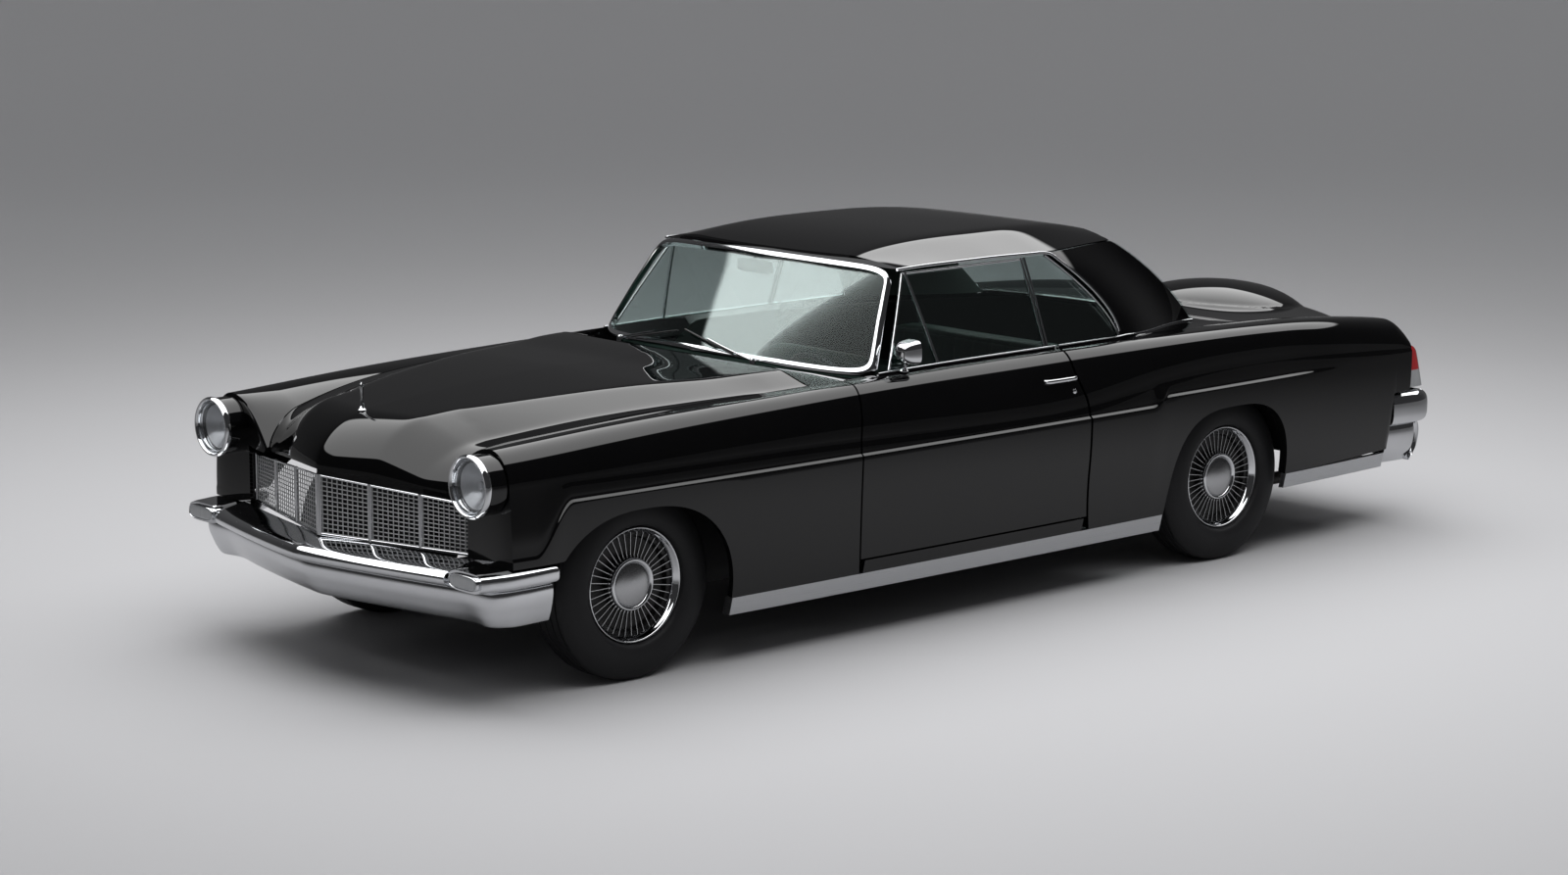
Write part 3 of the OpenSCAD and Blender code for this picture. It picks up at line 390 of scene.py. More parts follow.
def boxes(lo, hi):
    """Boxes from arrays of their lower and upper corners."""
    lo, hi = np.atleast_2d(np.asarray(lo, float)), np.atleast_2d(np.asarray(hi, float))
    c = np.stack(np.meshgrid([0, 1], [0, 1], [0, 1], indexing="ij"), -1).reshape(-1, 3)
    faces = np.array([[0, 1, 3, 2], [4, 6, 7, 5], [0, 4, 5, 1], [2, 3, 7, 6], [0, 2, 6, 4], [1, 5, 7, 3]])
    points = lo[:, None] + c * (hi - lo)[:, None]
    faces = faces + 8 * np.arange(len(lo))[:, None, None]
    return points.reshape(-1, 3), faces.reshape(-1, 4), np.zeros(6 * len(lo), np.int32)


def sweep(path, section, up=(0, 0, 1), scale=1.0):
    """A closed section of [side, up] carried along an open path of points, scaled along the way."""
    path, section = np.asarray(path, float), np.asarray(section, float)
    along = np.gradient(path, axis=0)
    along /= np.linalg.norm(along, axis=1)[:, None]
    side = np.cross(along, np.asarray(up, float))
    side /= np.linalg.norm(side, axis=1)[:, None] + 1e-9
    top = np.cross(side, along)
    k = np.broadcast_to(scale, len(path))[:, None, None]
    return tube(path[:, None] + k * (side[:, None] * section[:, :1] + top[:, None] * section[:, 1:]))


def oval(a, b, n=16, e=1.0):
    """A closed superellipse section of half sizes a and b."""
    t = turn(n)
    return np.stack([a * signed_power(np.cos(t), e), b * signed_power(np.sin(t), e)], -1)


def smoothed(p, count, closed=False):
    """Catmull-Rom curve through the rows of p, count samples."""
    p = np.asarray(p, float)
    n = len(p)
    p = np.concatenate([p[-1:], p, p[:2]]) if closed else np.concatenate([2 * p[:1] - p[1:2], p, 2 * p[-1:] - p[-2:-1]])
    u = np.linspace(0, n if closed else n - 1, count, endpoint=not closed)
    i = np.minimum(u.astype(int), n - 1 if closed else n - 2)
    f = (u - i).reshape((-1,) + (1,) * (p.ndim - 1))
    a, b, c, d = p[i], p[i + 1], p[i + 2], p[i + 3]
    return 0.5 * (2 * b + (c - a) * f + (2 * a - 5 * b + 4 * c - d) * f**2 + (3 * b - a - 3 * c + d) * f**3)


def rounded_tube(loops, around):
    """Bar through closed loops, each smoothed round."""
    return tube(np.swapaxes(smoothed(np.swapaxes(loops, 0, 1), around, True), 0, 1))


def loft(loops, along, around):
    """Bar through a few closed loops, smoothed both ways."""
    return rounded_tube(smoothed(np.asarray(loops, float), along), around)


# Materials


class Socket:
    """A node socket that takes part in Python expressions by adding Math nodes."""

    def __init__(self, tree, out):
        self.tree = tree
        self.out = out

    def math(self, operation, other):
        """A Math node on this socket and another value."""
        return node(self.tree, "ShaderNodeMath", {"operation": operation}, [self, other])

    def __add__(self, other):
        return self.math("ADD", other)

    def __mul__(self, other):
        return self.math("MULTIPLY", other)

    def __sub__(self, other):
        return self.math("SUBTRACT", other)

    def __rsub__(self, other):
        return node(self.tree, "ShaderNodeMath", {"operation": "SUBTRACT"}, [other, self])

    __radd__ = __add__
    __rmul__ = __mul__


def node(tree, kind, settings=None, inputs=None, output=0):
    """Any node: its settings first, then its sockets' values or links by index or name."""
    n = tree.nodes.new(kind)
    for key, value in (settings or {}).items():
        setattr(n, key, value)
    pairs = inputs.items() if isinstance(inputs, dict) else enumerate(inputs or [])
    for key, value in pairs:
        if isinstance(value, Socket):
            tree.links.new(value.out, n.inputs[key])
        else:
            n.inputs[key].default_value = value
    return Socket(tree, n.outputs[output])


def ease(x, a, b, start=0.0, end=1.0):
    """Smooth step of a socket, from start at a to end at b."""
    return node(x.tree, "ShaderNodeMapRange", {"interpolation_type": "SMOOTHSTEP"}, [x, a, b, start, end])


def blend(factor, a, b):
    """Colour a where the socket factor is 0 and b where it is 1."""
    return node(factor.tree, "ShaderNodeMix", {"data_type": "RGBA"}, {0: factor, 6: a, 7: b}, 2)


def material(name, colour, roughness, metallic=0.0, **extra):
    """A Principled material; extra names its other sockets."""
    m = bpy.data.materials.new(name)
    m.use_nodes = True
    shader = m.node_tree.nodes["Principled BSDF"]
    shader.inputs["Base Color"].default_value = (*colour, 1)
    shader.inputs["Roughness"].default_value = roughness
    shader.inputs["Metallic"].default_value = metallic
    for key, value in extra.items():
        shader.inputs[key.replace("_", " ")].default_value = value
    m.diffuse_color = (*colour, 1)
    return m


def worked(m, scale, colour_spread=0.25, rough_spread=0.1, relief=0.0, stretch=(1, 1, 1), cells=False):
    """Gives a material its grain: a pattern of scale per metre moves its colour and gloss, relief is in millimetres."""
    tree = m.node_tree
    shader = tree.nodes["Principled BSDF"]
    spot = node(tree, "ShaderNodeTexCoord", None, None, "Object")
    spot = node(tree, "ShaderNodeMapping", None, {0: spot, 3: tuple(scale * k for k in stretch)})
    if cells:
        grain = node(tree, "ShaderNodeTexVoronoi", {"feature": "SMOOTH_F1"}, {0: spot, 2: 1.0}, "Distance")
    else:
        grain = node(tree, "ShaderNodeTexNoise", None, {0: spot, 2: 1.0, 3: 4.0, 4: 0.6}, "Fac")
    base = np.array(shader.inputs["Base Color"].default_value[:3])
    low, high = [(*np.clip(base * k, 0, 1), 1) for k in (1 - colour_spread, 1 + colour_spread)]
    tint = blend(grain, low, high)
    tree.links.new(tint.out, shader.inputs["Base Color"])
    rough = shader.inputs["Roughness"].default_value
    gloss = grain * rough_spread + max(rough - rough_spread / 2, 0)
    tree.links.new(gloss.out, shader.inputs["Roughness"])
    if relief:
        bump = node(tree, "ShaderNodeBump", None, {"Strength": 1.0, "Distance": relief * MM, "Height": grain}, "Normal")
        tree.links.new(bump.out, shader.inputs["Normal"])
    return m


def glass_material(name, tint, body, gloss, shine=1.0, roughness=0.01):
    """See-through by its tint; the rest is a surface of the colour body that grows at grazing angles."""
    m = material(name, body, roughness, shine)
    tree = m.node_tree
    clear = node(tree, "ShaderNodeBsdfTransparent", None, [(*tint, 1)])
    sheen = node(tree, "ShaderNodeFresnel", None, [1.45])
    surface = node(tree, "ShaderNodeMixShader", None, [sheen * 0.29 + gloss, clear])
    tree.links.new(tree.nodes["Principled BSDF"].outputs[0], surface.out.node.inputs[2])
    tree.links.new(surface.out, tree.nodes["Material Output"].inputs[0])
    return m


MATERIALS = {}


def finishes():
    """All the finishes of the car, made once."""
    if MATERIALS:
        return MATERIALS
    look = bpy.context.scene.coupe_finish
    paint = material("black_paint", look.paint, 0.3, Coat_Weight=1.0, Coat_Roughness=0.01, Specular_IOR_Level=0.0)
    leather = material("green_leather", look.leather, 0.42, Specular_IOR_Level=0.18)
    rubber = material("tyre_rubber", (0.011, 0.011, 0.012), 0.55, Specular_IOR_Level=0.3)
    carpet = material("dark_carpet", (0.014, 0.019, 0.017), 0.95, Specular_IOR_Level=0.05)
    headliner = material("headliner", (0.045, 0.054, 0.05), 0.9, Specular_IOR_Level=0.05)
    red = material("red_lens", (0.4, 0.008, 0.01), 0.1, Coat_Weight=1.0)
    white = material("clear_lens", (0.36, 0.37, 0.38), 0.15, Coat_Weight=1.0)
    upright = (1, 1, 0.05)
    MATERIALS.update(
        paint=worked(paint, 6, 0.35, 0.1),
        bright=worked(material("bright_plate", look.bright, 0.055, 1.0), 9, 0.04, 0.05),
        brushed=worked(material("brushed_metal", (0.6, 0.61, 0.625), 0.3, 1.0), 60, 0.08, 0.16, 0.02, (1, 0.04, 14)),
        satin=worked(material("satin_plate", (0.5, 0.505, 0.515), 0.24, 1.0), 220, 0.1, 0.14, 0.01),
        wire=worked(material("grille_wire", (0.4, 0.405, 0.41), 0.4, 0.35), 40, 0.15, 0.2),
        rubber=worked(rubber, 160, 0.4, 0.2, 0.15),
        dark=worked(material("dark_steel", (0.012, 0.012, 0.013), 0.5, Specular_IOR_Level=0.25), 25, 0.5, 0.3, 0.3),
        well=worked(material("cover_well", (0.006, 0.006, 0.0065), 0.4), 30, 0.4, 0.2),
        iron=worked(material("engine_iron", (0.05, 0.053, 0.056), 0.5, 0.3), 90, 0.4, 0.3, 0.5),
        pipe=worked(material("exhaust_steel", (0.045, 0.042, 0.04), 0.55, 0.6), 14, 0.6, 0.3, 0.3),
        leather=worked(leather, 420, 0.35, 0.18, 0.25, cells=True),
        carpet=worked(carpet, 900, 0.7, 0.05, 1.5),
        headliner=worked(headliner, 700, 0.25, 0.05, 0.4),
        glass=glass_material("tinted_glass", (0.905, 0.952, 0.945), (0.92, 0.96, 0.95), 0.0),
        lens=glass_material("lamp_glass", (0.93, 0.94, 0.95), (0.8, 0.81, 0.82), 0.05, 1.0, 0.04),
        reflector=worked(material("lamp_reflector", (0.72, 0.72, 0.73), 0.22, 0.45), 50, 0.06, 0.1),
        red=worked(red, 260, 0.4, 0.05, 0.5, upright),
        white=worked(white, 160, 0.2, 0.05, 0.5, upright),
        gasket=worked(material("black_seal", (0.006, 0.006, 0.006), 0.6), 80, 0.4, 0.2),
    )
    return MATERIALS


def place(obj, body, slot, *nodes):
    """The piece rides on its body and stands for CAD nodes, which it hides; slot is not used."""
    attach(obj, body)
    if nodes:
        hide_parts(*nodes)
    return obj


def carved(obj, part):
    """Takes the volume of a part out of a piece."""
    tool = make_object("cutter", part)
    mod = obj.modifiers.new("pocket", "BOOLEAN")
    mod.object = tool
    mod.solver = "EXACT"
    shown = obj.evaluated_get(bpy.context.evaluated_depsgraph_get())
    mesh = bpy.data.meshes.new_from_object(shown)
    obj.modifiers.clear()
    obj.data = mesh
    bpy.data.objects.remove(tool)
    return obj


# Painted panels


def nose_line(p, r):
    """Inner line of the closed front face of a fender."""
    x = np.where(r < 3, 692, np.where(r < 4, mix(692, 664, r - 3), mix(664, 592, r - 4)))
    z = np.minimum(p[..., 2], np.where(r < 3, 752, mix(752, 736, (r - 3) / 2)))
    return stack(x, NOSE_Y - 8, z)


def fender_grids():
    """Outer and inner grids of the left front fender, from the closed nose to the door cut."""
    r = section_rows(26, 30)[None, :]
    y = np.concatenate([
        np.linspace(NOSE_Y + 2, -2330, 26)[:-1], arch_columns(ARCH_F, ARCH_FRONT, 4, 88),
        np.linspace(ARCH_F + 446, DOOR_FRONT - GAP / 2, 46)])[:, None]
    k = smooth(-1000, -840, y)
    low = fender_low(y)
    outer = cut_point(y, r, low, CREASE_STEP, cut_front, k)
    inner = inward(y, r, low, cut_front, k, SKIN)
    inner[..., 1] += np.where(y < NOSE_Y + 3, SKIN - 4, np.where(y < -2430, 6, 0))
    edge = outer[0]
    line = nose_line(edge, r[0])
    t = share(16)[:-1, None, None]
    face = mix(line, edge, t)
    face[..., 1] = NOSE_Y - 8 + 10 * t[..., 0] ** 5
    back = face + [0, SKIN - 2, 0]
    back = mix(back, inner[0], t**6)
    return np.concatenate([face, outer]), np.concatenate([back, inner])


def quarter_grids():
    """Outer and inner grids of the left rear quarter, from the door cut to the closed tail."""
    thick = SKIN + 16
    r = section_rows(26, 30)[None, :]
    y = np.concatenate([
        np.linspace(DOOR_BACK + GAP / 2, ARCH_B - 389, 46), arch_columns(ARCH_B, ARCH_REAR, 3, 84),
        np.linspace(ARCH_B + 389, 2424, 36), np.linspace(2432, TAIL_Y - 0.5, 20)])[:, None]
    k = 1 - smooth(DOOR_BACK, 700, y)
    low = quarter_low(y)
    outer = cut_point(y, r, low, CREASE_STEP, cut_back, k)
    inner = inward(y, r, low, cut_back, k, thick)
    inner[..., 1] -= np.where(y > 2500, thick - 12, 0)
    edge = skin_point(TAIL_Y - 0.5, r[0], TAIL_LOW_Z, 0)
    line = stack(mix(690, 600, r[0] / 5), TAIL_Y, np.minimum(edge[..., 2], mix(TAIL_LOW_Z, 745, r[0] / 5)))
    t = share(12)[1:, None, None]
    face = mix(outer[-1], line, t)
    back = mix(inner[-1], line - [0, thick, 0], t)
    return np.concatenate([outer, face]), np.concatenate([inner, back])


def door_grids():
    """Outer and inner grids of the left door."""
    r = section_rows(26, 30)
    s = share(70)[:, None]
    y = mix(DOOR_FRONT + GAP / 2, DOOR_BACK - GAP / 2, s)
    z = skin_point(y, r[None], DOOR_BOTTOM)[..., 2]
    outer = skin_point(mix(cut_front(z) + GAP / 2, cut_back(z) - GAP / 2 - 4, s), r[None], DOOR_BOTTOM)
    n = share(len(r))[None, :]
    z = mix(DOOR_BOTTOM, mix(780, 1000, smooth(0.3, 0.6, s)), n)
    inner = stack(DOOR_INNER, mix(cut_front(z) + GAP / 2 + 6, cut_back(z) - GAP / 2 - 26, s), z)
    return outer, inner


def hinge_pockets_part():
    """Pockets in the left door that its two goosenecks and pins swing in."""
    plan = np.array([[7, 0], [0, 8], [-94, 10], [-94, -70], [-12, -70], [6, -8]]) + DOOR_PIN
    pockets = [tube(np.stack([np.insert(plan, 2, z, 1) for z in (low - 3, low + 27)])) for low in HINGE_Z]
    pins = [revolve([[0.5, -19], [6, -19], [6, 43], [0.5, 43]], 32, (*DOOR_PIN, low), "z") for low in HINGE_Z]
    return joined(*pockets, *pins)


def hood_width(y):
    """Half width of the hood: the edge column of the station table less the gap."""
    return station(y)[..., 5] - GAP


def hood_front(f):
    """Front edge of the hood in plan, a V with a soft tip: a power of |f|."""
    return -2647 + 172 * np.abs(f) ** 1.25


def hood_back(f):
    """Rear edge of the hood in plan, a parabola."""
    return -1000 + 36 * f * f


def hood_crown(y):
    """Centre line of the hood: level, falling by a power towards the nose, with a rise at the cowl."""
    return 1040 - 52 * np.clip((-1500 - y) / 800, 0, None) ** 1.6 + 10 * smooth(-1300, -1000, y)


def bend(d, e):
    """Soft corner: 0 far below zero, d far above it."""
    return (np.sqrt(d * d + e * e) + d) / 2


def hood_fall(a, y):
    """Cross profile: a faint ridge on the centre line, then a ramp down to the valley beside the fender."""
    t = np.clip((y + 2250) / 1150, 0, 1) ** 0.7
    p, q = 0.48 + 0.34 * t, 0.82 + 0.18 * t
    at, start, end = [bend(d - p, 0.025) - bend(d - q, 0.025) for d in (a, 0, 1)]
    return 0.08 * a + 0.92 * (at - start) / (end - start)


def hood_point(f, t):
    """Hood: f across from -1 to 1, t from the lip to the cowl; the nose rolls down as a quarter ellipse."""
    a = np.abs(f)
    ye = mix(hood_front(1.0), hood_back(1.0), t)
    y = mix(hood_front(f), hood_back(f), t)
    e = station(ye)[..., 6]
    lip = 778 - 35 * a * a
    base = e + (hood_crown(y) - e) * (1 - hood_fall(a, y))
    z = base - (base - lip) * roll(y - hood_front(f), mix(240, 170, a))
    return stack(f * hood_width(ye), y, z)


def hood_grids():
    """Outer and inner grids of the hood."""
    f = np.linspace(-1, 1, 121)[None, :]
    t = np.concatenate([share(32) ** 2 * 0.16, np.linspace(0.16, 1, 58)[1:]])[:, None]
    outer = hood_point(f, t)
    k = smooth(0, 0.09, t)
    shift = stack(-0.015 * outer[..., 0], SKIN * 0.9 * (1 - k), -SKIN * mix(0.15, 1, k))
    return outer, outer + shift


def shield_point(u, v):
    """Windshield: u across, v from the base to the header, bowed forward at the middle."""
    a = np.abs(u)
    base = stack(808 * u, -838 + 209 * a**2.3, 1046 - 38 * a * a)
    head = stack(684 * u, -500 + 76 * a**2.4, 1392 - 14 * a * a)
    v = np.broadcast_to(v, a.shape)
    bow = (4 * v * (1 - v) * (1 - 0.5 * a))[..., None] * np.array([0, -14, 12])
    return mix(base, head, v[..., None]) + bow


IN_SHIELD = np.array([0, 0.72, -0.69])


def cowl_grids():
    """Cowl from behind the hood to the foot of the windshield."""
    f = np.linspace(-1, 1, 81)
    h = hood_point(f, np.ones_like(f))
    w = hood_width(hood_back(1.0))
    p = stack(h[:, 0] * (w + GAP - 3.3) / w, h[:, 1] + GAP, h[:, 2])
    q = shield_point(f * 0.985, np.full_like(f, -0.06)) - [0, 2, 0]
    t = share(24)[:, None, None]
    outer = mix(p, q, t)
    return outer, outer - [0, 0, 20]


def roof_width(y):
    """Half width of the roof, drawn in by a smooth step towards the rear glass."""
    return DRIP_X - 100 * smooth(380, 960, y)


def roof_crown(y):
    """Centre line of the roof: cubic falls ahead of and behind its top."""
    return ROOF_Z - 62 * np.clip((250 - y) / 740, 0, None) ** 3 - 60 * np.clip((y - 250) / 730, 0, None) ** 3


def roof_edge(y):
    """Height of the drip rail, two smooth steps."""
    return 1389 - 6 * smooth(100, 500, y) - 4 * smooth(-200, -430, y)


def roof_point(f, y):
    """Roof: nearly flat, with a ramp to each drip rail, f across from -1 to 1."""
    e = roof_edge(y)
    at, start, end = [bend(d - 0.68, 0.05) for d in (np.abs(f), 0, 1)]
    z = e + (roof_crown(y) - e) * (1 - 0.06 * f * f - 0.94 * (at - start) / (end - start))
    return stack(f * roof_width(y), y, z)


def roof_back(f):
    """Rear edge of the roof in plan, a parabola."""
    return 985 - 75 * f * f


def roof_grids():
    """Outer and inner grids of the roof from the header to the rear glass."""
    f = np.sin(np.linspace(-1, 1, 101) * np.pi / 2)[None, :]
    start = shield_point(f, 1.06 * np.ones_like(f))[..., 1] + 27
    y = mix(start, roof_back(f), share(72)[:, None])
    outer = roof_point(f, y)
    inner = outer - stack(outer[..., 0] * 0.02, 0 * y, 8 + 22 * (1 - f**4) + 0 * y)
    return outer, inner


def sail_front(t):
    """Rear edge of the quarter window by height."""
    return mix(742, 440, np.asarray(t, float) ** 1.6)


def sail_point(s, t):
    """Rear quarter of the cabin: s from the window to the rear glass, t from the belt to the roof."""
    yt = mix(sail_front(1), roof_back(1.0), s)
    y = mix(sail_front(t), mix(SAIL_FOOT_Y, roof_back(1.0), t), s)
    x = mix(mix(828, 640, smooth(0, 1, s)), roof_width(yt), t) + 34 * 0.7 * 4 * t * (1 - t)
    z = mix(mix(1022, 1006, s), roof_edge(yt), t) + 26 * 4 * t * (1 - t) * s
    return stack(x, y, z)


def sail_grids():
    """Outer and inner grids of the left sail panel."""
    s = share(50)[:, None]
    t = np.linspace(0, 0.984, 50)[None, :]
    outer = sail_point(s, t)
    return outer, outer - [34, 0, 8]


def back_glass_point(u, v):
    """Rear window: bowed across between the two sail panels."""
    a = np.abs(u)
    e = sail_point(np.ones_like(v), v)
    cy, cz = mix(1480, 985, v), mix(1006, roof_crown(985.0) - 6, v)
    x = u * (e[..., 0] - 3)
    y = mix(cy, e[..., 1], a * a) + 18
    z = mix(cz, e[..., 2], a * a) + 14 * 4 * v * (1 - v) * (1 - a * a)
    return stack(x, y, z)


def lid_back(f):
    """Rear edge of the trunk lid in plan, a parabola."""
    return 2700 - 150 * f * f


def deck_point(f, y, ye):
    """Trunk lid: f across, with the rounded spare-wheel hump and a rolled rear end."""
    a = np.abs(f)
    w = station(ye)[..., 5] - GAP
    e = skin_point(np.minimum(ye, 2525), 5.0, TAIL_LOW_Z, 0)[..., 2]
    crown = 985 - 45 * smooth(1700, 2600, y)
    hump = 85 * np.clip(1 - ((f * w) ** 2 + (y - 2290) ** 2) / 380**2, 0, 1) ** 0.8
    base = e + (np.maximum(e, crown) - e) * (1 - a * a) ** 1.3 + hump
    z = base - (base - mix(800, 760, a * a)) * roll(lid_back(f) - y, 230)
    return stack(f * w, y, z)


def lid_grids():
    """Outer and inner grids of the trunk lid."""
    f = np.linspace(-1, 1, 85)[None, :]
    t = 1 - np.linspace(1, 0, 80)[:, None] ** 1.5
    outer = deck_point(f, mix(LID_Y0, lid_back(f), t), mix(LID_Y0, lid_back(1.0), t))
    k = smooth(0.5, 1, share(80)[:, None])
    shift = stack(-0.02 * outer[..., 0], -SKIN * 0.9 * k, -SKIN * mix(1, 0.2, k))
    return outer, outer + shift


def deck_grids():
    """Panel round the foot of the cabin, between sails, rear glass, quarters and trunk lid."""
    q = np.concatenate([np.linspace(-1, -0.5, 31), np.linspace(-0.5, 0.5, 61)[1:-1], np.linspace(0.5, 1, 31)])
    a, g = np.abs(q), np.sign(q)
    side = a > 0.5
    s = np.clip(2 - 2 * a, 0, 1)
    sail = sail_point(s, np.zeros_like(s))
    ix = np.where(side, sail[:, 0], 2 * a * 640) * g
    iy = np.where(side, sail[:, 1] + 0.5, 1497 - 95 * 4 * a * a)
    iz = np.where(side, sail[:, 2] - 0.5, 1004)
    y = LID_Y0 - GAP
    lid = deck_point(np.clip(2 * a, 0, 1), np.full_like(a, y), np.full_like(a, y))
    yy = mix(sail_front(0), y, s)
    edge = skin_point(yy, 5.0, 300.0, 0)
    ox = np.where(side, edge[:, 0] - 1, 2 * a * (station(y)[5] - 0.5)) * g
    oy = np.where(side, yy, y)
    oz = np.where(side, edge[:, 2], lid[:, 2])
    t = share(14)[:, None, None]
    outer = mix(stack(ix, iy, iz), stack(ox, oy, oz), t)
    return outer, outer - stack(outer[..., 0] * 0.02, 0 * outer[..., 0], 14 + 0 * outer[..., 0])


def low_strip(y, z0, z1, depth):
    """Strip of the lower side between two heights; depth above 0 is a place, below 0 a thickness."""
    y = np.asarray(y, float)[:, None]
    z = np.linspace(z0, z1, 12)[None, :]
    x = low_x(y, z)
    inner = np.full_like(x, depth) if depth > 0 else x + depth
    return stack(x, y, z), stack(inner, y, z)


# Glass and brightwork shapes


def side_point(y, t):
    """Leaning plane of the side windows, y along and t from the belt to the drip rail."""
    return stack(mix(831, DRIP_X - 8, t) + 14 * t * (1 - t), y, mix(1018, 1368, t))


def door_glass_part():
    """Pane of the left door: straight blends between its four corners in the side plane."""
    s = share(30)[:, None]
    t = np.linspace(-0.005, 1, 24)[None, :]
    outer = side_point(mix(mix(GLASS_FRONT[0], GLASS_REAR[0], s), mix(GLASS_FRONT[1], GLASS_REAR[1], s), t), t + 0 * s)
    return sheet(outer, outer - [GLASS, 0, 0])


def quarter_glass_part():
    """Left quarter pane: straight to the curved front edge of the sail panel."""
    s = share(24)[:, None]
    t = share(24)[None, :]
    outer = side_point(mix(308, sail_front(t) - 8, s), t + 0 * s)
    return sheet(outer, outer - [GLASS, 0, 0])


def shield_part():
    """Windshield pane inside its surround."""
    u = np.linspace(-0.984, 0.984, 80)[:, None]
    v = np.linspace(0.014, 0.986, 30)[None, :]
    u, v = np.broadcast_arrays(u, v)
    outer = shield_point(u, v) + IN_SHIELD * 8
    return sheet(outer, outer + IN_SHIELD * GLASS)


def back_glass_part():
    """Rear pane, a little below the roof and the sail panels."""
    u, v = np.broadcast_arrays(np.linspace(-1, 1, 61)[:, None], np.linspace(0.02, 0.96, 40)[None, :])
    outer = back_glass_point(u, v) + [0, 0, -4]
    return sheet(outer, outer - np.array([0, 0.6, 0.8]) * GLASS)


def shield_ring(sections, corner=0.16, count=160):
    """Ring round the windshield: a rounded rectangle in u and v, each section a pair of growths and a depth."""
    a = turn(count)
    u, v = signed_power(np.cos(a), corner), 0.5 + 0.5 * signed_power(np.sin(a), corner)
    loops = [shield_point(u * (1 + gu), v + (v - 0.5) * 2 * gv) + IN_SHIELD * d for gu, gv, d in sections]
    return tube(np.stack(loops, 1), True)


def front_y(x):
    """Front bumper in plan."""
    return -2757 + 136 * (np.abs(x) / 720) ** 1.25


def front_bumper_part():
    """Upper bar, lower valance that wraps to the wheels, and the two pods."""
    x = np.linspace(-728, 728, 91)
    up = np.array([[132, 529.6], [80, 519], [30, 508], [12, 499], [4, 490], [0, 478], [5, 464], [16, 453], [34, 446.4],
                   [60, 446.2], [60, 470], [100, 512]])
    loops = stack(x[:, None], front_y(x)[:, None] + up[:, 0], up[:, 1])
    upper = rounded_tube(loops, 48)
    low = np.array([[56, 445.5], [50, 424], [56, 396], [70, 368], [88, 338], [112, 312], [126, 316],
                    [86, 376], [72, 440]])
    ends = np.array([[934, -2290], [940, -2400], [928, -2500], [880, -2552]])
    k = np.array([[0.55, 0.05], [0.55, 0.05], [0.5, 0.6], [0.5, 0.6]])
    d = low[:, 0] - 50
    tips = stack(ends[:, :1] - d * k[:, :1], ends[:, 1:] + d * k[:, 1:], low[:, 1] + 0 * ends[:, :1])
    xs = np.array([-728, -560, -380, -200, -80, 0, 80, 200, 380, 560, 728.0])
    mid = stack(xs[:, None], front_y(xs)[:, None] + low[:, 0] + 2, low[:, 1])
    loops = np.concatenate([tips * [-1, 1, 1], mid, tips[::-1]])
    return joined(upper, loft(loops, 150, 44), both(pod_part()))


POD = np.array([[-2604, 836, 96, 36], [-2582, 838, 103, 37.6], [-2560, 842, 104, 38], [-2480, 862, 98, 38],
                [-2380, 882, 78, 37], [-2300, 904, 52, 34], [-2278, 912, 42, 30], [-2272, 914, 34, 24]])


def pod_section(x, y, a, b, n=56):
    """Superellipse of half sizes a and b across the car."""
    t = turn(n)
    return stack(x + a * signed_power(np.cos(t), 0.55), y, POD_Z + b * signed_power(np.sin(t), 0.6))


def pod_part():
    """Pod of the bumper end: rounded rectangles that slim down towards the wheel."""
    rows = smoothed(POD, 40)
    return tube(np.stack([pod_section(x, y, a, b) for y, x, a, b in rows]))


def back_y(x):
    """Rear bumper in plan."""
    return 2757 - 29 * (np.abs(x) / 890) ** 2


def rear_tier(prof, inset, along=120):
    """One tier of the rear bumper: a closed profile of [depth, height] across the tail and round both corners."""
    prof = np.asarray(prof, float)
    # place y and x, share of the depth taken in x and in y, share of the inset taken in y
    wrap = np.array([[2462, 888, 0.62, 0.02, 0], [2560, 897, 0.62, 0.02, 0], [2640, 898, 0.62, 0.2, 0],
                     [2700, 882, 0.5, 0.6, 1]])[:, None]
    d = prof[:, 0]
    y, x, out, back, inner = np.moveaxis(wrap, -1, 0)
    side = stack(x - inset - d * out, y - inset * inner - d * back, prof[:, 1])
    xs = np.array([842, 700, 450, 200, 0, -200, -450, -700, -842.0])[:, None]
    mid = stack(xs, back_y(xs) - inset - d, prof[:, 1])
    return loft(np.concatenate([side, mid, side[::-1] * [-1, 1, 1]]), along, 56)


def rear_bumper_part():
    """Upper blade with a shelf behind it, and the valance below."""
    blade = [[132, 607.4], [84, 600], [40, 591], [17, 577], [5, 560], [0.5, 540], [0.5, 500], [4, 480], [12, 465],
             [30, 455], [60, 455], [61, 500], [62, 556], [108, 588]]
    apron = [[16, 453], [4, 432], [0.5, 400], [6, 366], [16, 336], [34, 308], [48, 292], [60, 279], [67, 285],
             [34, 344], [21, 400], [24, 440]]
    return joined(rear_tier(blade, 0), rear_tier(apron, 40))


def tail_lamp_part():
    """Wedge that leans back towards the bumper: rounded plan sections from the foot to the rounded top."""
    rows = [[611, 2698], [640, 2689], [690, 2674], [740, 2658], [770, 2646], [788, 2629], [797, 2608], [800, 2590]]
    rows = smoothed(rows, 44)
    t = np.linspace(0, np.pi, 30)
    x, k = 816 + 56 * signed_power(-np.cos(t), 0.5), signed_power(np.sin(t), 0.35)
    y0 = TAIL_Y + 0.5
    return tube(stack(x, y0 + (rows[:, 1:] - y0) * k, rows[:, :1]))


def grille_turn(part):
    """Takes a part from the flat of one grille half to its place in the V."""
    a = math.radians(15.3)
    c, s = math.cos(a), math.sin(a)
    p = part[0] + [0, -6, 0]
    p = stack(c * p[:, 0] - s * p[:, 1] + 4, s * p[:, 0] + c * p[:, 1] - 2640, p[:, 2])
    return p, part[1], part[2]


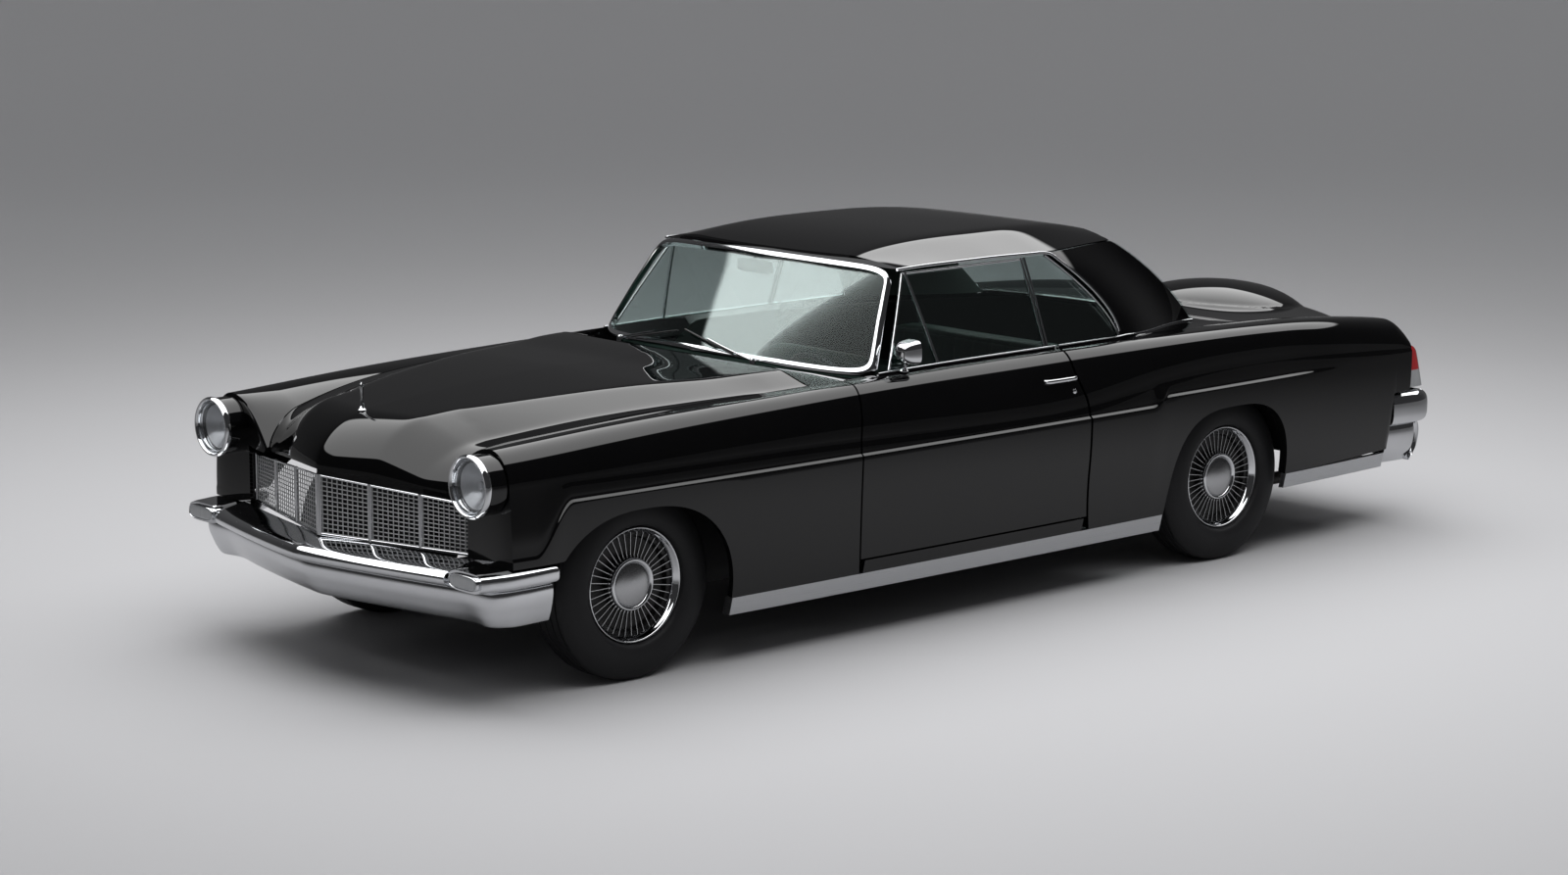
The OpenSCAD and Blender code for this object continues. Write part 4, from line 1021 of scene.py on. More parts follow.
def grille_part():
    """Bright surround, broad upright dividers and a square mesh of round wires in each half of the V."""
    look = bpy.context.scene.coupe_front
    w, drop = GRILLE_HALF, GRILLE_DROP
    x = np.linspace(0, w, 24)
    frame_bars = [sweep(stack(x, 4.5, 536.0 + 0 * x), oval(5.5, 5.5, 12, 0.7)),
                  sweep(stack(x, 4.5, 754 - drop * x / w), oval(4.5, 4, 12, 0.9))]
    up = share(8)
    for at, half in ((3, 9.0), (239, 8.0), (471, 8.0), (705, 6.0)):
        path = stack(at, 4.0, mix(532, 758 - drop * at / w, up))
        frame_bars.append(sweep(path, oval(half, 5.5, 16, 0.75), (0, 1, 0)))
    cells = np.array([12, 248, 480.0])[:, None] + np.linspace(0, 214, look.mesh_columns + 1)[None, :]
    posts = [sweep(stack(at, 8.0, mix(538, 752 - drop * at / w, up)), oval(2.1, 2.2, 8), (0, 1, 0))
             for at in cells.ravel()]
    rows = np.linspace(541, 749, look.mesh_rows + 1)
    x = np.linspace(4, w - 4, 3)
    wires = [sweep(stack(x, 11.0, mix(z, z - drop * (z - 541) / 208, x / w)), oval(2.2, 2.1, 8)) for z in rows]
    return both(grille_turn(joined(*frame_bars, *[tagged(p, 1) for p in posts + wires])))


# Wheels


def wheel_place(part, side, y, track):
    """Takes a part that faces +x at the origin to its wheel."""
    p, f, t = part if side > 0 else flipped(part)
    return p + [side * track / 2, y, TYRE_R], f, t


def spokes(count, r0, r1, x0, x1, half):
    """Thin radial blades from r0 to r1, leaning from x0 to x1."""
    a = turn(count)[:, None]
    base = boxes([-1, -half, 0], [1, half, 1])[0]
    r = mix(r0, r1, base[:, 2])[None]
    x = mix(x0, x1, base[:, 2])[None] + base[:, 0] * 3 + 0 * a
    y = base[:, 1][None]
    points = stack(x, r * np.cos(a) - y * np.sin(a), r * np.sin(a) + y * np.cos(a)).reshape(-1, 3)
    faces = boxes([0, 0, 0], [1, 1, 1])[1] + 8 * np.arange(count)[:, None, None]
    return points, faces.reshape(-1, 4), np.zeros(6 * count, np.int32)


def wheel_part():
    """Rim, black well, conical bright trim ring, thin radial blades and the domed hub disc in its ring."""
    look = bpy.context.scene.coupe_wheels
    ring = [[194, 56], [198, 64], [204, 72], [209, 79], [213, 80.5], [216, 76], [213, 70], [203, 63], [197, 54]]
    ring = smoothed(ring, 48, True)
    hub_ring = smoothed([[99, 40], [100, 56], [98, 65], [93, 69], [87, 67.5], [82, 62], [80, 56], [84, 44]], 40, True)
    disc = smoothed([[84, 50], [83, 58], [80, 63.5], [74, 66.5], [60, 70.5], [40, 74.5], [20, 77], [2, 77.8]], 40)
    rim = [[20, 12], [150, 12], [158, -78], [RIM_R - 12, -84], [RIM_R - 0.3, -84], [RIM_R - 0.3, 50], [178, 46],
           [172, 26], [104, 22], [98, 40], [20, 40]]
    blade = spokes(look.blades, 98, 198, 50, 52, 1.2)
    bead = spokes(look.blades, 99, 107, 53, 52, 2.4)
    return joined(
        tagged(revolve(rim, 72, wrap=True), 1), revolve(ring, 120, wrap=True),
        revolve(hub_ring, 96, wrap=True), tagged(joined(revolve(disc, 96), blade, bead), 2))


def tyre_part():
    """Tyre: round shoulders, ribbed sidewall and straight grooves round a flat tread."""
    w, r = TYRE_W / 2, TYRE_R
    side = np.array([[RIM_R, w - 50], [RIM_R + 12, w - 48], [RIM_R + 24, w - 40], [RIM_R + 30, w - 24],
                     [RIM_R + 38, w - 9], [RIM_R + 60, w - 1], [RIM_R + 84, w], [r - 62, w - 3],
                     [r - 40, w - 9], [r - 22, w - 18], [r - 9, w - 29], [r - 3, w - 38]])
    side = smoothed(side, 36)
    edge = np.array([w - 42, w - 44, w - 46, w - 50, w - 52, w - 54, 26, 24, 22, 18, 16, 14.0])
    depth = np.array([2, 2.2, 9, 9, 0.6, 0.5, 0, 0, 8, 8, 0, 0])
    half = np.concatenate([side, np.stack([r - depth, edge], -1)])
    back = half[::-1] * [1, -1]
    back[-2:, 1] -= 18
    return revolve(np.concatenate([half, back]), 112, wrap=True)


# Lamps


def lamp_rim_part():
    """Head lamp shell turned about its axis: painted behind, with a slim rolled bright rim in front."""
    r = LAMP_R
    profile = np.array([
        [r - 30, -1.6], [r - 6, -1.6], [r - 5.5, 40], [r - 5, 60], [r - 4.5, 66], [r - 1.5, 68], [r, 73], [r, 80],
        [r - 2, 86], [r - 7, 91], [r - 12, 90.5], [r - 16, 86], [r - 18, 80], [r - 19, 72], [r - 24, 66], [r - 29, 58],
        [r - 30, 44]])
    part = revolve(profile, 96, LAMP, "y", -1, True)
    depth = LAMP[1] - part[0][part[1]].mean(1)[:, 1]
    return part[0], part[1], (depth < 66).astype(np.int32)


def lamp_lens_part():
    """Domed lens with upright flutes pressed into it."""
    r = LAMP_R - 20
    t = share(28)
    outer = np.stack([np.maximum(r * np.cos(np.pi / 2 * t), 1.5), 70 + 21 * np.sin(np.pi / 2 * t) ** 0.9], -1)
    inner = np.array([[1.5, 66], [r, 66]])
    points, faces, tags = revolve(np.concatenate([inner, outer]), 120, LAMP, "y", -1)
    flute = 0.7 * np.cos((points[:, 0] - LAMP_X) * 2 * np.pi / 13) * (points[:, 1] < LAMP[1] - 72)
    return points + stack(0 * flute, 0.7 + flute, 0 * flute), faces, tags


def lamp_bowl_part():
    """Deep silvered bowl behind the lens, with the small shield before its bulb."""
    r = LAMP_R - 32
    t = share(18)
    bowl = np.stack([np.maximum(r * np.sqrt(t), 1.5), 6 + 50 * t], -1)
    cup = revolve([[1.5, 8], [16, 10], [17, 30], [15, 36], [1.5, 38]], 36, LAMP, "y", -1)
    return joined(revolve(np.concatenate([[[1.5, 2]], [[r, 2]], bowl[::-1]]), 72, LAMP, "y", -1), cup)


def parking_lamp_part():
    """Bright bezel and pane on the front of a pod: rows of [y, share of the width, share of the height]."""
    bezel = ((-2604.4, 1, 1), (-2612, 0.995, 0.995), (-2616.5, 0.97, 0.97), (-2617.5, 0.94, 0.94), (-2616, 0.91, 0.91),
             (-2613, 0.905, 0.905))
    pane = ((-2612.4, 0.895, 0.845), (-2615.8, 0.87, 0.82), (-2616.9, 0.78, 0.73), (-2617.2, 0.4, 0.35))
    bezel, pane = [tube(np.stack([pod_section(836, y, 84 * a, 27 * b) for y, a, b in rows])) for rows in (bezel, pane)]
    return joined(tagged(bezel, 1), pane)


# Soft goods


def pad(lo, hi, face, channels, lean=0.0, pull=5.0):
    """Stuffed pad across the car: superellipse sections from s = -1 to 1 with round ends.

    The face side is crowned by 1 - s^2 and sewn into channels, its sides pull in between the corners, and two
    piped seams follow the edges of that face. The pad leans back about its lower front edge."""
    lo, hi, face = np.asarray(lo, float), np.asarray(hi, float), np.asarray(face, float)
    c, h = (lo + hi) / 2, (hi - lo) / 2
    s = np.sin(np.linspace(-1, 1, 141) * np.pi / 2)[:, None] * 0.9999
    a = turn(60)
    toward = np.stack([np.cos(a), np.sin(a)], -1) @ face
    sew = np.exp(-((np.abs((s + 1) * channels / 2 - np.round((s + 1) * channels / 2)) * 2 * h[0] / channels / 7) ** 2))
    sew = sew * (np.abs(s) < 0.97) * smooth(0.15, 0.75, toward)
    sink = 9 * s**2 * smooth(0.2, 0.9, toward) + pull * sew + 4 * (1 - s**2) * (1 - toward**2)
    end = (1 - np.abs(s) ** 12) ** 0.25
    y = (h[1] * end - sink * np.abs(np.cos(a))) * signed_power(np.cos(a), 0.4)
    z = (h[2] * end - sink * np.abs(np.sin(a))) * signed_power(np.sin(a), 0.4)
    p = stack(s * h[0] + 0 * y, y, z) + c
    edges = np.flatnonzero((toward > 0.7) != (np.roll(toward, 1) > 0.7))
    whole = joined(tube(p), *[sweep(p[6:-6, i], oval(3.2, 3.2, 8), (0, 1, 0.3)) for i in edges])
    foot = np.array([0, lo[1], lo[2]])
    return raked(whole, lean, foot, foot)


def seat_parts(inner, outer, front, rear, channels, back):
    """Two cushions beside the tunnel, from inner to outer, and the full-width back."""
    low, high = CUSHION_Z
    sides = ((inner, outer), (-outer, -inner))
    return [*(pad([x0, front, low], [x1, rear, high], (0, 1), channels) for x0, x1 in sides), back]


def plinths_part():
    """Carpeted boxes under the four cushions."""
    lo = [[205, -318, 318], [-690, -318, 318], [205, 430, 318], [-530, 430, 318]]
    hi = [[690, 30, 403], [-205, 30, 403], [530, 690, 403], [-205, 690, 403]]
    return boxes(lo, hi)


def dash_part():
    """Rolled dashboard carried across the car, a bright strip along it and two dials before the driver."""
    section = smoothed([[-878, 836], [-878.5, 935], [-864, 948], [-800, 949], [-715, 946], [-664, 936], [-645, 912],
                        [-648, 880], [-664, 846], [-700, 834], [-800, 833]], 66, True)
    x = np.linspace(-768, 768, 24)
    body = tube(stack(x[:, None], section[:, 0], section[:, 1]))
    rail = sweep(stack(np.linspace(-740, 740, 40), -646.0, 918.0 + 0 * share(40)), oval(4, 3, 10, 0.7))
    dials = [p for at in (300, 460) for p in (
        revolve([[44, 0], [46, 8], [44, 13], [40, 14.5], [38, 10]], 48, (at, -662, 880), "y", 1, True),
        tagged(revolve([[39, 0], [39, 8], [20, 9.5], [1.5, 10]], 48, (at, -662, 880), "y"), 2))]
    return joined(tagged(body, 1), rail, *dials)


def helm_part():
    """Steering wheel: a rim with finger grips, two flat spokes, the hub and a bright horn ring, set on its rake."""
    t = turn(120)
    grip = 11.2 + 0.7 * np.cos(40 * t)
    a = turn(16)
    r = 205 + grip[:, None] * np.cos(a)
    rim = tube(stack(r * np.cos(t)[:, None], r * np.sin(t)[:, None], grip[:, None] * np.sin(a)), True)
    x = np.linspace(20, 202, 20)
    z = -9 + 8 * ((x - 20) / 182) ** 2
    arms = joined(*[sweep(stack(side * x, 0.0, z), oval(12, 4.5, 14, 0.7)) for side in (1, -1)])
    hub = revolve([[30, -30], [39, -24], [40, -8], [34, 4], [22, 9.5], [8, 11.5], [1.5, 11.8]], 48, (0, 0, 0), "z")
    ring = revolve(oval(4, 4, 12) + [128, -4], 96, (0, 0, 0), "z", 1, True)
    return raked(joined(tagged(joined(rim, arms), 1), ring, hub), math.radians(HELM_RAKE), (0, 0, 0), HELM)


def inner_mirror_part():
    """Inside mirror: a rounded bar on a short stem below the windshield header."""
    x = np.linspace(-1, 1, 24)
    k = (1 - np.abs(x) ** 6) ** 0.3 * 0.99 + 0.01
    head = sweep(stack(-85 + 110 * x, -440.0, 1324 + 0 * x), oval(9, 27, 24, 0.6), (0, 0, 1), k)
    stem = sweep(stack(-85 + 0 * x, -436 + 6 * x, 1352 + 26 * (1 + x)), oval(5, 5, 12), (0, 1, 0))
    return joined(head, stem)


def engine_dress_part():
    """Rocker covers with rounded ends along both banks, and the round air cleaner between them."""
    s = np.linspace(-1, 1, 40)
    k = (1 - np.abs(s) ** 10) ** 0.3 * 0.98 + 0.02
    section = oval(58, 24, 28, 0.55)
    covers = both(sweep(stack(168.0, -1690 + 370 * s, 884.5 + 0 * s), section, (0, 0, 1), k))
    cleaner = [[60, 0], [60, 22], [165, 26], [176, 34], [176, 70], [168, 79], [60, 83], [24, 84], [22, 92],
               [12, 98], [2, 99]]
    cleaner = revolve(cleaner, 72, (0, -1690, 860.3), "z")
    return joined(tagged(covers, 1), cleaner)


def finial_part():
    """Plain tapered post on the tip of the hood."""
    ridge = hood_point(np.zeros(300), share(300))
    z = float(np.interp(FINIAL_Y, ridge[:, 1], ridge[:, 2]))
    return revolve([[17, -1], [17, 3], [11, 9], [6, 22], [4.5, 48], [5.5, 72], [8, 86], [6.5, 97], [1.5, 104]], 36,
                   (0, FINIAL_Y, z), "z")


def strip(path, a, b, up=(0, 0, 1), e=0.7):
    """A slim bright strip along a path."""
    return sweep(path, oval(a, b, 12, e), up)


def door_trim_part():
    """Belt strip, window frame and vent post of the left door, with the pull handle and the lock."""
    t = share(24)
    y = np.linspace(-620, 352, 60)
    edge = skin_point(y, 5.0, DOOR_BOTTOM, 0)
    belt = strip(edge + [2, 0, 3], 5, 4)
    front = strip(side_point(mix(*GLASS_FRONT, t) + 3, t) + [1, 0, 0], 5, 5, (0, 1, 0))
    back = strip(side_point(mix(*GLASS_REAR, t) - 4, t) + [1, 0, 0], 6, 5, (0, 1, 0))
    top = strip(side_point(np.linspace(GLASS_FRONT[1], GLASS_REAR[1], 40), np.full(40, 0.985)) + [1, 0, 0], 5, 5)
    vent = strip(side_point(mix(-300, -352, t), t) + [1, 0, 0], 6, 6, (0, 1, 0))
    z = 905.0
    pull = np.array([[0, 186, 0], [12, 190, 0], [20, 204, 0.5], [23, 230, 1], [23.5, 275, 1], [23, 320, 1],
                     [19, 344, 0.5], [11, 357, 0], [0, 362, 0]])
    x = skin_point(280.0, np.linspace(2, 4, 400), DOOR_BOTTOM)
    base, low = np.interp([z, z - 52], x[:, 2], x[:, 0])
    path = smoothed(pull, 40) + [base - 4, 0, z]
    handle = sweep(path, oval(5.5, 8.5, 14), (0, 0, 1))
    lock = revolve([[10, 0], [10, 5], [7, 7.5], [1, 8]], 24, (low - 1, 340, z - 52), "x")
    return joined(belt, front, back, top, vent, handle, lock)


def roof_trim_part():
    """Drip rails, belt strips of the quarters and the frames of the quarter windows."""
    t = share(30)
    rail = roof_point(0.995, np.linspace(-395, DOOR_BACK, 40)) + [3, 0, -5]
    down = sail_point(0, np.linspace(0.97, 0.02, 24)) + [4, -2, 0]
    drip = strip(smoothed(np.concatenate([rail, down])[::2], 120), 6, 5, (1, 0, 0.2))
    y = np.linspace(372, 742, 30)
    foot = sail_point(np.linspace(0.04, 1, 40), 0) + [4, 3, 2]
    path = np.concatenate([skin_point(y, 5.0, 300.0, 0) + [1.5, 0, 3], foot])
    belt = strip(smoothed(path[::3], 90), 5, 4)
    front = strip(side_point(np.full(30, 312.0), t) + [1, 0, 0], 6, 5, (0, 1, 0))
    back = strip(side_point(sail_front(t) - 8, t) + [1, 0, 0], 5, 5, (0, 1, 0))
    return both(joined(drip, belt, front, back))


def wiper_part(x0, x1, v0, v1):
    """Arm and blade that lie on the glass, from a pivot on the cowl."""
    t = share(16)
    arm = shield_point(mix(x0, mix(x0, x1, 0.62), t), mix(v0, mix(v0, v1, 0.62) + 0.05, t)) - IN_SHIELD * 10
    a, b = mix(x0, x1, 0.25), x1
    blade = shield_point(mix(a, b, t), mix(mix(v0, v1, 0.3), v1 + 0.06, t)) - IN_SHIELD * 6
    pivot = revolve([[13, -14], [13, 2], [9, 9], [2, 11]], 24, arm[0], "z")
    return joined(strip(arm, 4.5, 3.5), pivot), tagged(strip(blade, 5, 3.5), 1)


def mirror_part():
    """Door mirror: a rounded-square head that tapers forward, on a swan neck with a round foot."""
    stem = smoothed([[850, -500, 1012], [851, -498, 1024], [860, -497, 1038], [869, -505, 1052]], 20)
    rows = smoothed([[-540, 14], [-535, 28], [-516, 42], [-492, 49], [-476, 51.5], [-470, 52]], 30)
    t = turn(48)
    k = rows[:, 1:]
    x, z = MIRROR
    head = stack(x + k * signed_power(np.cos(t), 0.55), rows[:, :1], z + 0.92 * k * signed_power(np.sin(t), 0.55))
    rim = head[-1] - [x, 0, z]
    pane = np.stack([rim * [q, 1, q] + [x, d, z] for q, d in ((0.93, -4.0), (0.93, -0.4), (0.2, -0.2))])
    foot = revolve([[20, 0], [20, 4], [15, 9], [9, 14], [2, 15]], 32, (850, -500, 1009.4), "z")
    return joined(sweep(stem, oval(6.5, 8), (0, 1, 0)), foot, tube(head)), tube(pane)


# Properties


class CoupeFinish(bpy.types.PropertyGroup):
    """Colours of the finishes."""

    paint: bpy.props.FloatVectorProperty(
        name="Paint", description="Colour of the body panels", default=(0.0015, 0.0015, 0.0017), subtype="COLOR",
        min=0, max=1)
    bright: bpy.props.FloatVectorProperty(
        name="Brightwork", description="Colour of the plated pieces", default=(0.78, 0.79, 0.81), subtype="COLOR",
        min=0, max=1)
    leather: bpy.props.FloatVectorProperty(
        name="Leather", description="Colour of the seats and door trim", default=(0.018, 0.035, 0.028), subtype="COLOR",
        min=0, max=1)


class CoupeFront(bpy.types.PropertyGroup):
    """The grille."""

    mesh_columns: bpy.props.IntProperty(
        name="Mesh columns", description="Openings across each grille cell", default=9, min=4, max=16)
    mesh_rows: bpy.props.IntProperty(
        name="Mesh rows", description="Openings up each grille cell", default=12, min=4, max=16)


class CoupeWheels(bpy.types.PropertyGroup):
    """The wheel covers."""

    blades: bpy.props.IntProperty(
        name="Blades", description="Thin radial blades on each wheel cover", default=40, min=20, max=64)


class CoupeStage(bpy.types.PropertyGroup):
    """Floor, backdrop and light."""

    # Floor colours: painted darker near the car as painted shade, and paler far from it as painted light.
    floor: bpy.props.FloatVectorProperty(
        name="Floor", description="Colour of the floor", default=(0.42, 0.42, 0.43), subtype="COLOR", min=0, max=1)
    distance: bpy.props.FloatVectorProperty(
        name="Far floor", description="Colour of the floor far from the car", default=(0.6, 0.605, 0.62),
        subtype="COLOR", min=0, max=1)
    key: bpy.props.FloatProperty(
        name="Top light", description="Strength of the large soft light overhead", default=1080.0, min=0, unit="POWER")
    ambient: bpy.props.FloatVectorProperty(
        name="Room", description="Light from all round on dull surfaces", default=(0.17, 0.17, 0.175, 1), size=4,
        subtype="COLOR", min=0, max=1)
    mirrored: bpy.props.FloatVectorProperty(
        name="Dark room", description="What bright surfaces mirror beside the top light",
        default=(0.03, 0.03, 0.031, 1), size=4, subtype="COLOR", min=0, max=1)
    behind: bpy.props.FloatVectorProperty(
        name="Room behind", description="What bright surfaces mirror of the room behind the car",
        default=(0.075, 0.075, 0.077, 1), size=4, subtype="COLOR", min=0, max=1)
    panel: bpy.props.FloatVectorProperty(
        name="Mirrored panel", description="What bright surfaces mirror of the top light",
        default=(2.5, 2.5, 2.5, 1), size=4, subtype="COLOR", min=0, max=4)


class CoupeOperator:
    """Shared by all the operators."""

    bl_options = {"REGISTER", "UNDO"}

    @classmethod
    def poll(cls, context):
        return context.scene is not None


class COUPE_OT_panels(CoupeOperator, bpy.types.Operator):
    """Builds the painted panels."""

    bl_idname = "coupe.panels"
    bl_label = "Panels"

    def execute(self, context):
        wing = sheet(*fender_grids())
        place(make_object("front_fenders_skin", both(wing), "paint", "dark"), "body", "paint", "front_fenders")
        quarter = sheet(*quarter_grids())
        place(make_object("quarter_skin", both(quarter), "paint", "dark"), "body", "paint", "quarter_panels")
        door = sheet(*door_grids())
        for name, part in (("door_left", door), ("door_right", flipped(door))):
            pockets = hinge_pockets_part() if name == "door_left" else flipped(hinge_pockets_part())
            place(carved(make_object(name + "_skin", part, "paint", "leather"), pockets), name, "paint", name)
        for name, grids, body, back, nodes in (
            ("hood_skin", hood_grids(), "hood", "dark", ["hood"]),
            ("cowl_skin", cowl_grids(), "body", "dark", ["cowl_panel"]),
            ("roof_skin", roof_grids(), "body", "headliner", ["roof"]),
            ("lid_skin", lid_grids(), "trunk_lid", "dark", ["trunk_lid"]),
            ("deck_skin", deck_grids(), "body", "headliner", ["rear_deck"]),
        ):
            place(make_object(name, sheet(*grids), "paint", back), body, "paint", *nodes)
        sail = both(sheet(*sail_grids()))
        place(make_object("sail_skin", sail, "paint", "headliner"), "body", "paint", "sail_panels")
        sill = both(sheet(*low_strip(np.linspace(-780, 430, 40), SILL_Z, DOOR_BOTTOM - GAP, 770)))
        place(make_object("sill_skin", sill, "paint", "carpet"), "body", "paint", "sills")
        f = np.linspace(-1, 1, 61)[:, None]
        t = share(10)[None, :]
        tail = stack(f * mix(689.5, 599.5, t), 2640 - 92 * f * f + 0 * t, mix(TAIL_LOW_Z, 745, t) + 0 * f)
        tail = make_object("tail_skin", sheet(tail, tail - [0, 20, 0]), "paint", "dark")
        place(tail, "body", "paint", "tail_panel")
        return {"FINISHED"}


class COUPE_OT_glass(CoupeOperator, bpy.types.Operator):
    """Builds the windows."""

    bl_idname = "coupe.glass"
    bl_label = "Glass"

    def execute(self, context):
        side = door_glass_part()
        for name, part, body, node_name in (
            ("shield_pane", shield_part(), "body", "windshield_glass"),
            ("back_pane", back_glass_part(), "body", "rear_glass"),
            ("quarter_panes", both(quarter_glass_part()), "body", "quarter_glass"),
            ("left_pane", side, "door_left", "door_glass_left"),
            ("right_pane", flipped(side), "door_right", "door_glass_right"),
        ):
            place(make_object(name, part, "glass", "glass"), body, "glass", node_name)
        return {"FINISHED"}


class COUPE_OT_brightwork(CoupeOperator, bpy.types.Operator):
    """Builds the bumpers, grille, mouldings and small bright pieces."""

    bl_idname = "coupe.brightwork"
    bl_label = "Brightwork"

    def execute(self, context):
        ring = [(0.008, 0.042, 4), (0.004, 0.032, -2), (-0.006, 0.008, -3), (-0.014, -0.012, 0), (-0.014, -0.012, 24),
                (0.008, 0.042, 24)]
        low = low_strip(np.linspace(ARCH_F + 447, ARCH_B - 391, 60), 197, 265.6, -40)
        tail = low_strip(np.linspace(ARCH_B + 391, 2410, 30), 276, 339, -26)
        for name, part, slot, nodes in (
            ("shield_surround", shield_ring(ring), "bright", ["windshield_frame"]),
            ("front_bumper_bars", front_bumper_part(), "bright", ["front_bumper"]),
            ("rear_bumper_bar", rear_bumper_part(), "bright", ["rear_bumper"]),
            ("window_trim", roof_trim_part(), "bright", []),
        ):
            place(make_object(name, part, slot), "body", slot, *nodes)
        place(make_object("grille_mesh", grille_part(), "bright", "wire"), "body", "bright", "grille")
        rockers = both(joined(sheet(*low), sheet(*tail)))
        place(make_object("rocker_trim", rockers, "brushed", "brushed"), "body", "brushed", "rocker_mouldings")
        trim = door_trim_part()
        place(make_object("left_door_trim", trim, "bright"), "door_left", "bright")
        place(make_object("right_door_trim", flipped(trim), "bright"), "door_right", "bright")
        wipers = wiper_part(-0.66, -0.17, -0.05, 0.05) + wiper_part(0.42, -0.12, -0.05, 0.07)
        place(make_object("wipers", joined(*wipers), "bright", "gasket"), "body", "bright")
        head, face = mirror_part()
        head = joined(head, tagged(face, 1))
        place(make_object("mirror", head, "bright", "reflector"), "door_left", "bright", "door_mirror")
        return {"FINISHED"}


class COUPE_OT_lamps(CoupeOperator, bpy.types.Operator):
    """Builds the head, parking and tail lamps."""

    bl_idname = "coupe.lamps"
    bl_label = "Lamps"

    def execute(self, context):
        place(make_object("lamp_rims", both(lamp_rim_part()), "bright", "paint"), "body", "bright", "headlamp_shells")
        place(make_object("lamp_panes", both(lamp_lens_part()), "lens"), "body", "lens", "headlamp_lenses")
        place(make_object("lamp_bowls", both(lamp_bowl_part()), "reflector"), "body", "bright")
        park = both(parking_lamp_part())
        place(make_object("parking_panes", park, "white", "bright"), "body", "lens", "parking_lamps")
        tail = tail_lamp_part()
        middle = tail[0][tail[1]].mean(1)[:, 2]
        tail = tail[0], tail[1], (middle < TAIL_SPLIT_Z).astype(np.int32)
        place(make_object("tail_panes", both(tail), "red", "white"), "body", "red_lens", "tail_lamps")
        return {"FINISHED"}


class COUPE_OT_cabin(CoupeOperator, bpy.types.Operator):
    """Builds the seats, the dashboard, the steering wheel and the inside mirror."""

    bl_idname = "coupe.cabin"
    bl_label = "Cabin"

    def execute(self, context):
        front_back = pad([-SEAT_HALF, 44, 584], [SEAT_HALF, 156, 918], (-1, 0), 12, math.radians(14))
        rear_back = pad([-539, 706, 580], [539, 848, 938], (-1, 0), 10)
        for at, parts in (
            ("front_seat", seat_parts(188, SEAT_HALF, -328, 40, 5, front_back)),
            ("rear_seat", seat_parts(200, 539, 422, 698, 4, rear_back)),
        ):
            for name, part in zip(("cushion_left", "cushion_right", "back"), parts):
                place(make_object(f"{at}_{name}", part, "leather"), "body", "trim", at)
        place(make_object("seat_plinths", plinths_part(), "carpet"), "body", "trim")
        place(make_object("dash", dash_part(), "bright", "leather", "white"), "body", "trim", "dashboard")
        place(make_object("helm", helm_part(), "bright", "dark"), "steering_wheel", "trim", "steering_wheel")
        place(make_object("inner_mirror", inner_mirror_part(), "dark"), "body", "trim")
        place(make_object("hood_finial", finial_part(), "bright"), "hood", "bright")
        shields = both(boxes([548, -1430, 300], [556, -892, 735]))
        place(make_object("splash_shields", shields, "dark"), "body", "trim")
        return {"FINISHED"}


class COUPE_OT_underbody(CoupeOperator, bpy.types.Operator):
    """Gives the frame, the running gear and the engine their finishes."""

    bl_idname = "coupe.underbody"
    bl_label = "Underbody"

    def execute(self, context):
        for finish, names in (
            ("dark", ("chassis_frame", "wheel_housings", "radiator", "rear_axle", "front_suspension", "fuel_tank",
                      "hinge_pillars", "knuckle_left", "knuckle_right", "steering_column")),
            ("carpet", ("floor_pan",)), ("iron", ("engine",)), ("pipe", ("exhaust",)), ("bright", ("trunk_hinge_pin",)),
        ):
            for name in names:
                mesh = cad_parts[name].data
                mesh.materials.clear()
                mesh.materials.append(finishes()[finish])
        place(make_object("engine_dress", engine_dress_part(), "dark", "satin"), "body", "iron")
        return {"FINISHED"}


class COUPE_OT_wheels(CoupeOperator, bpy.types.Operator):
    """Builds the four wheels and tyres."""

    bl_idname = "coupe.wheels"
    bl_label = "Wheels"

    def execute(self, context):
        wheel, tyre = wheel_part(), tyre_part()
        for end, y, track in (("front", AXLE_F, TRACK_F), ("rear", AXLE_B, TRACK_B)):
            for side, sign in (("left", 1), ("right", -1)):
                at = f"{end}_{side}"
                body = "wheel_" + at
                cover = wheel_place(wheel, sign, y, track)
                place(make_object("cover_" + at, cover, "bright", "well", "satin"), body, "bright", body)
                rubber = wheel_place(tyre, sign, y, track)
                place(make_object("rubber_" + at, rubber, "rubber", sharp=60), body, "tyre", "tyre_" + at)
        return {"FINISHED"}


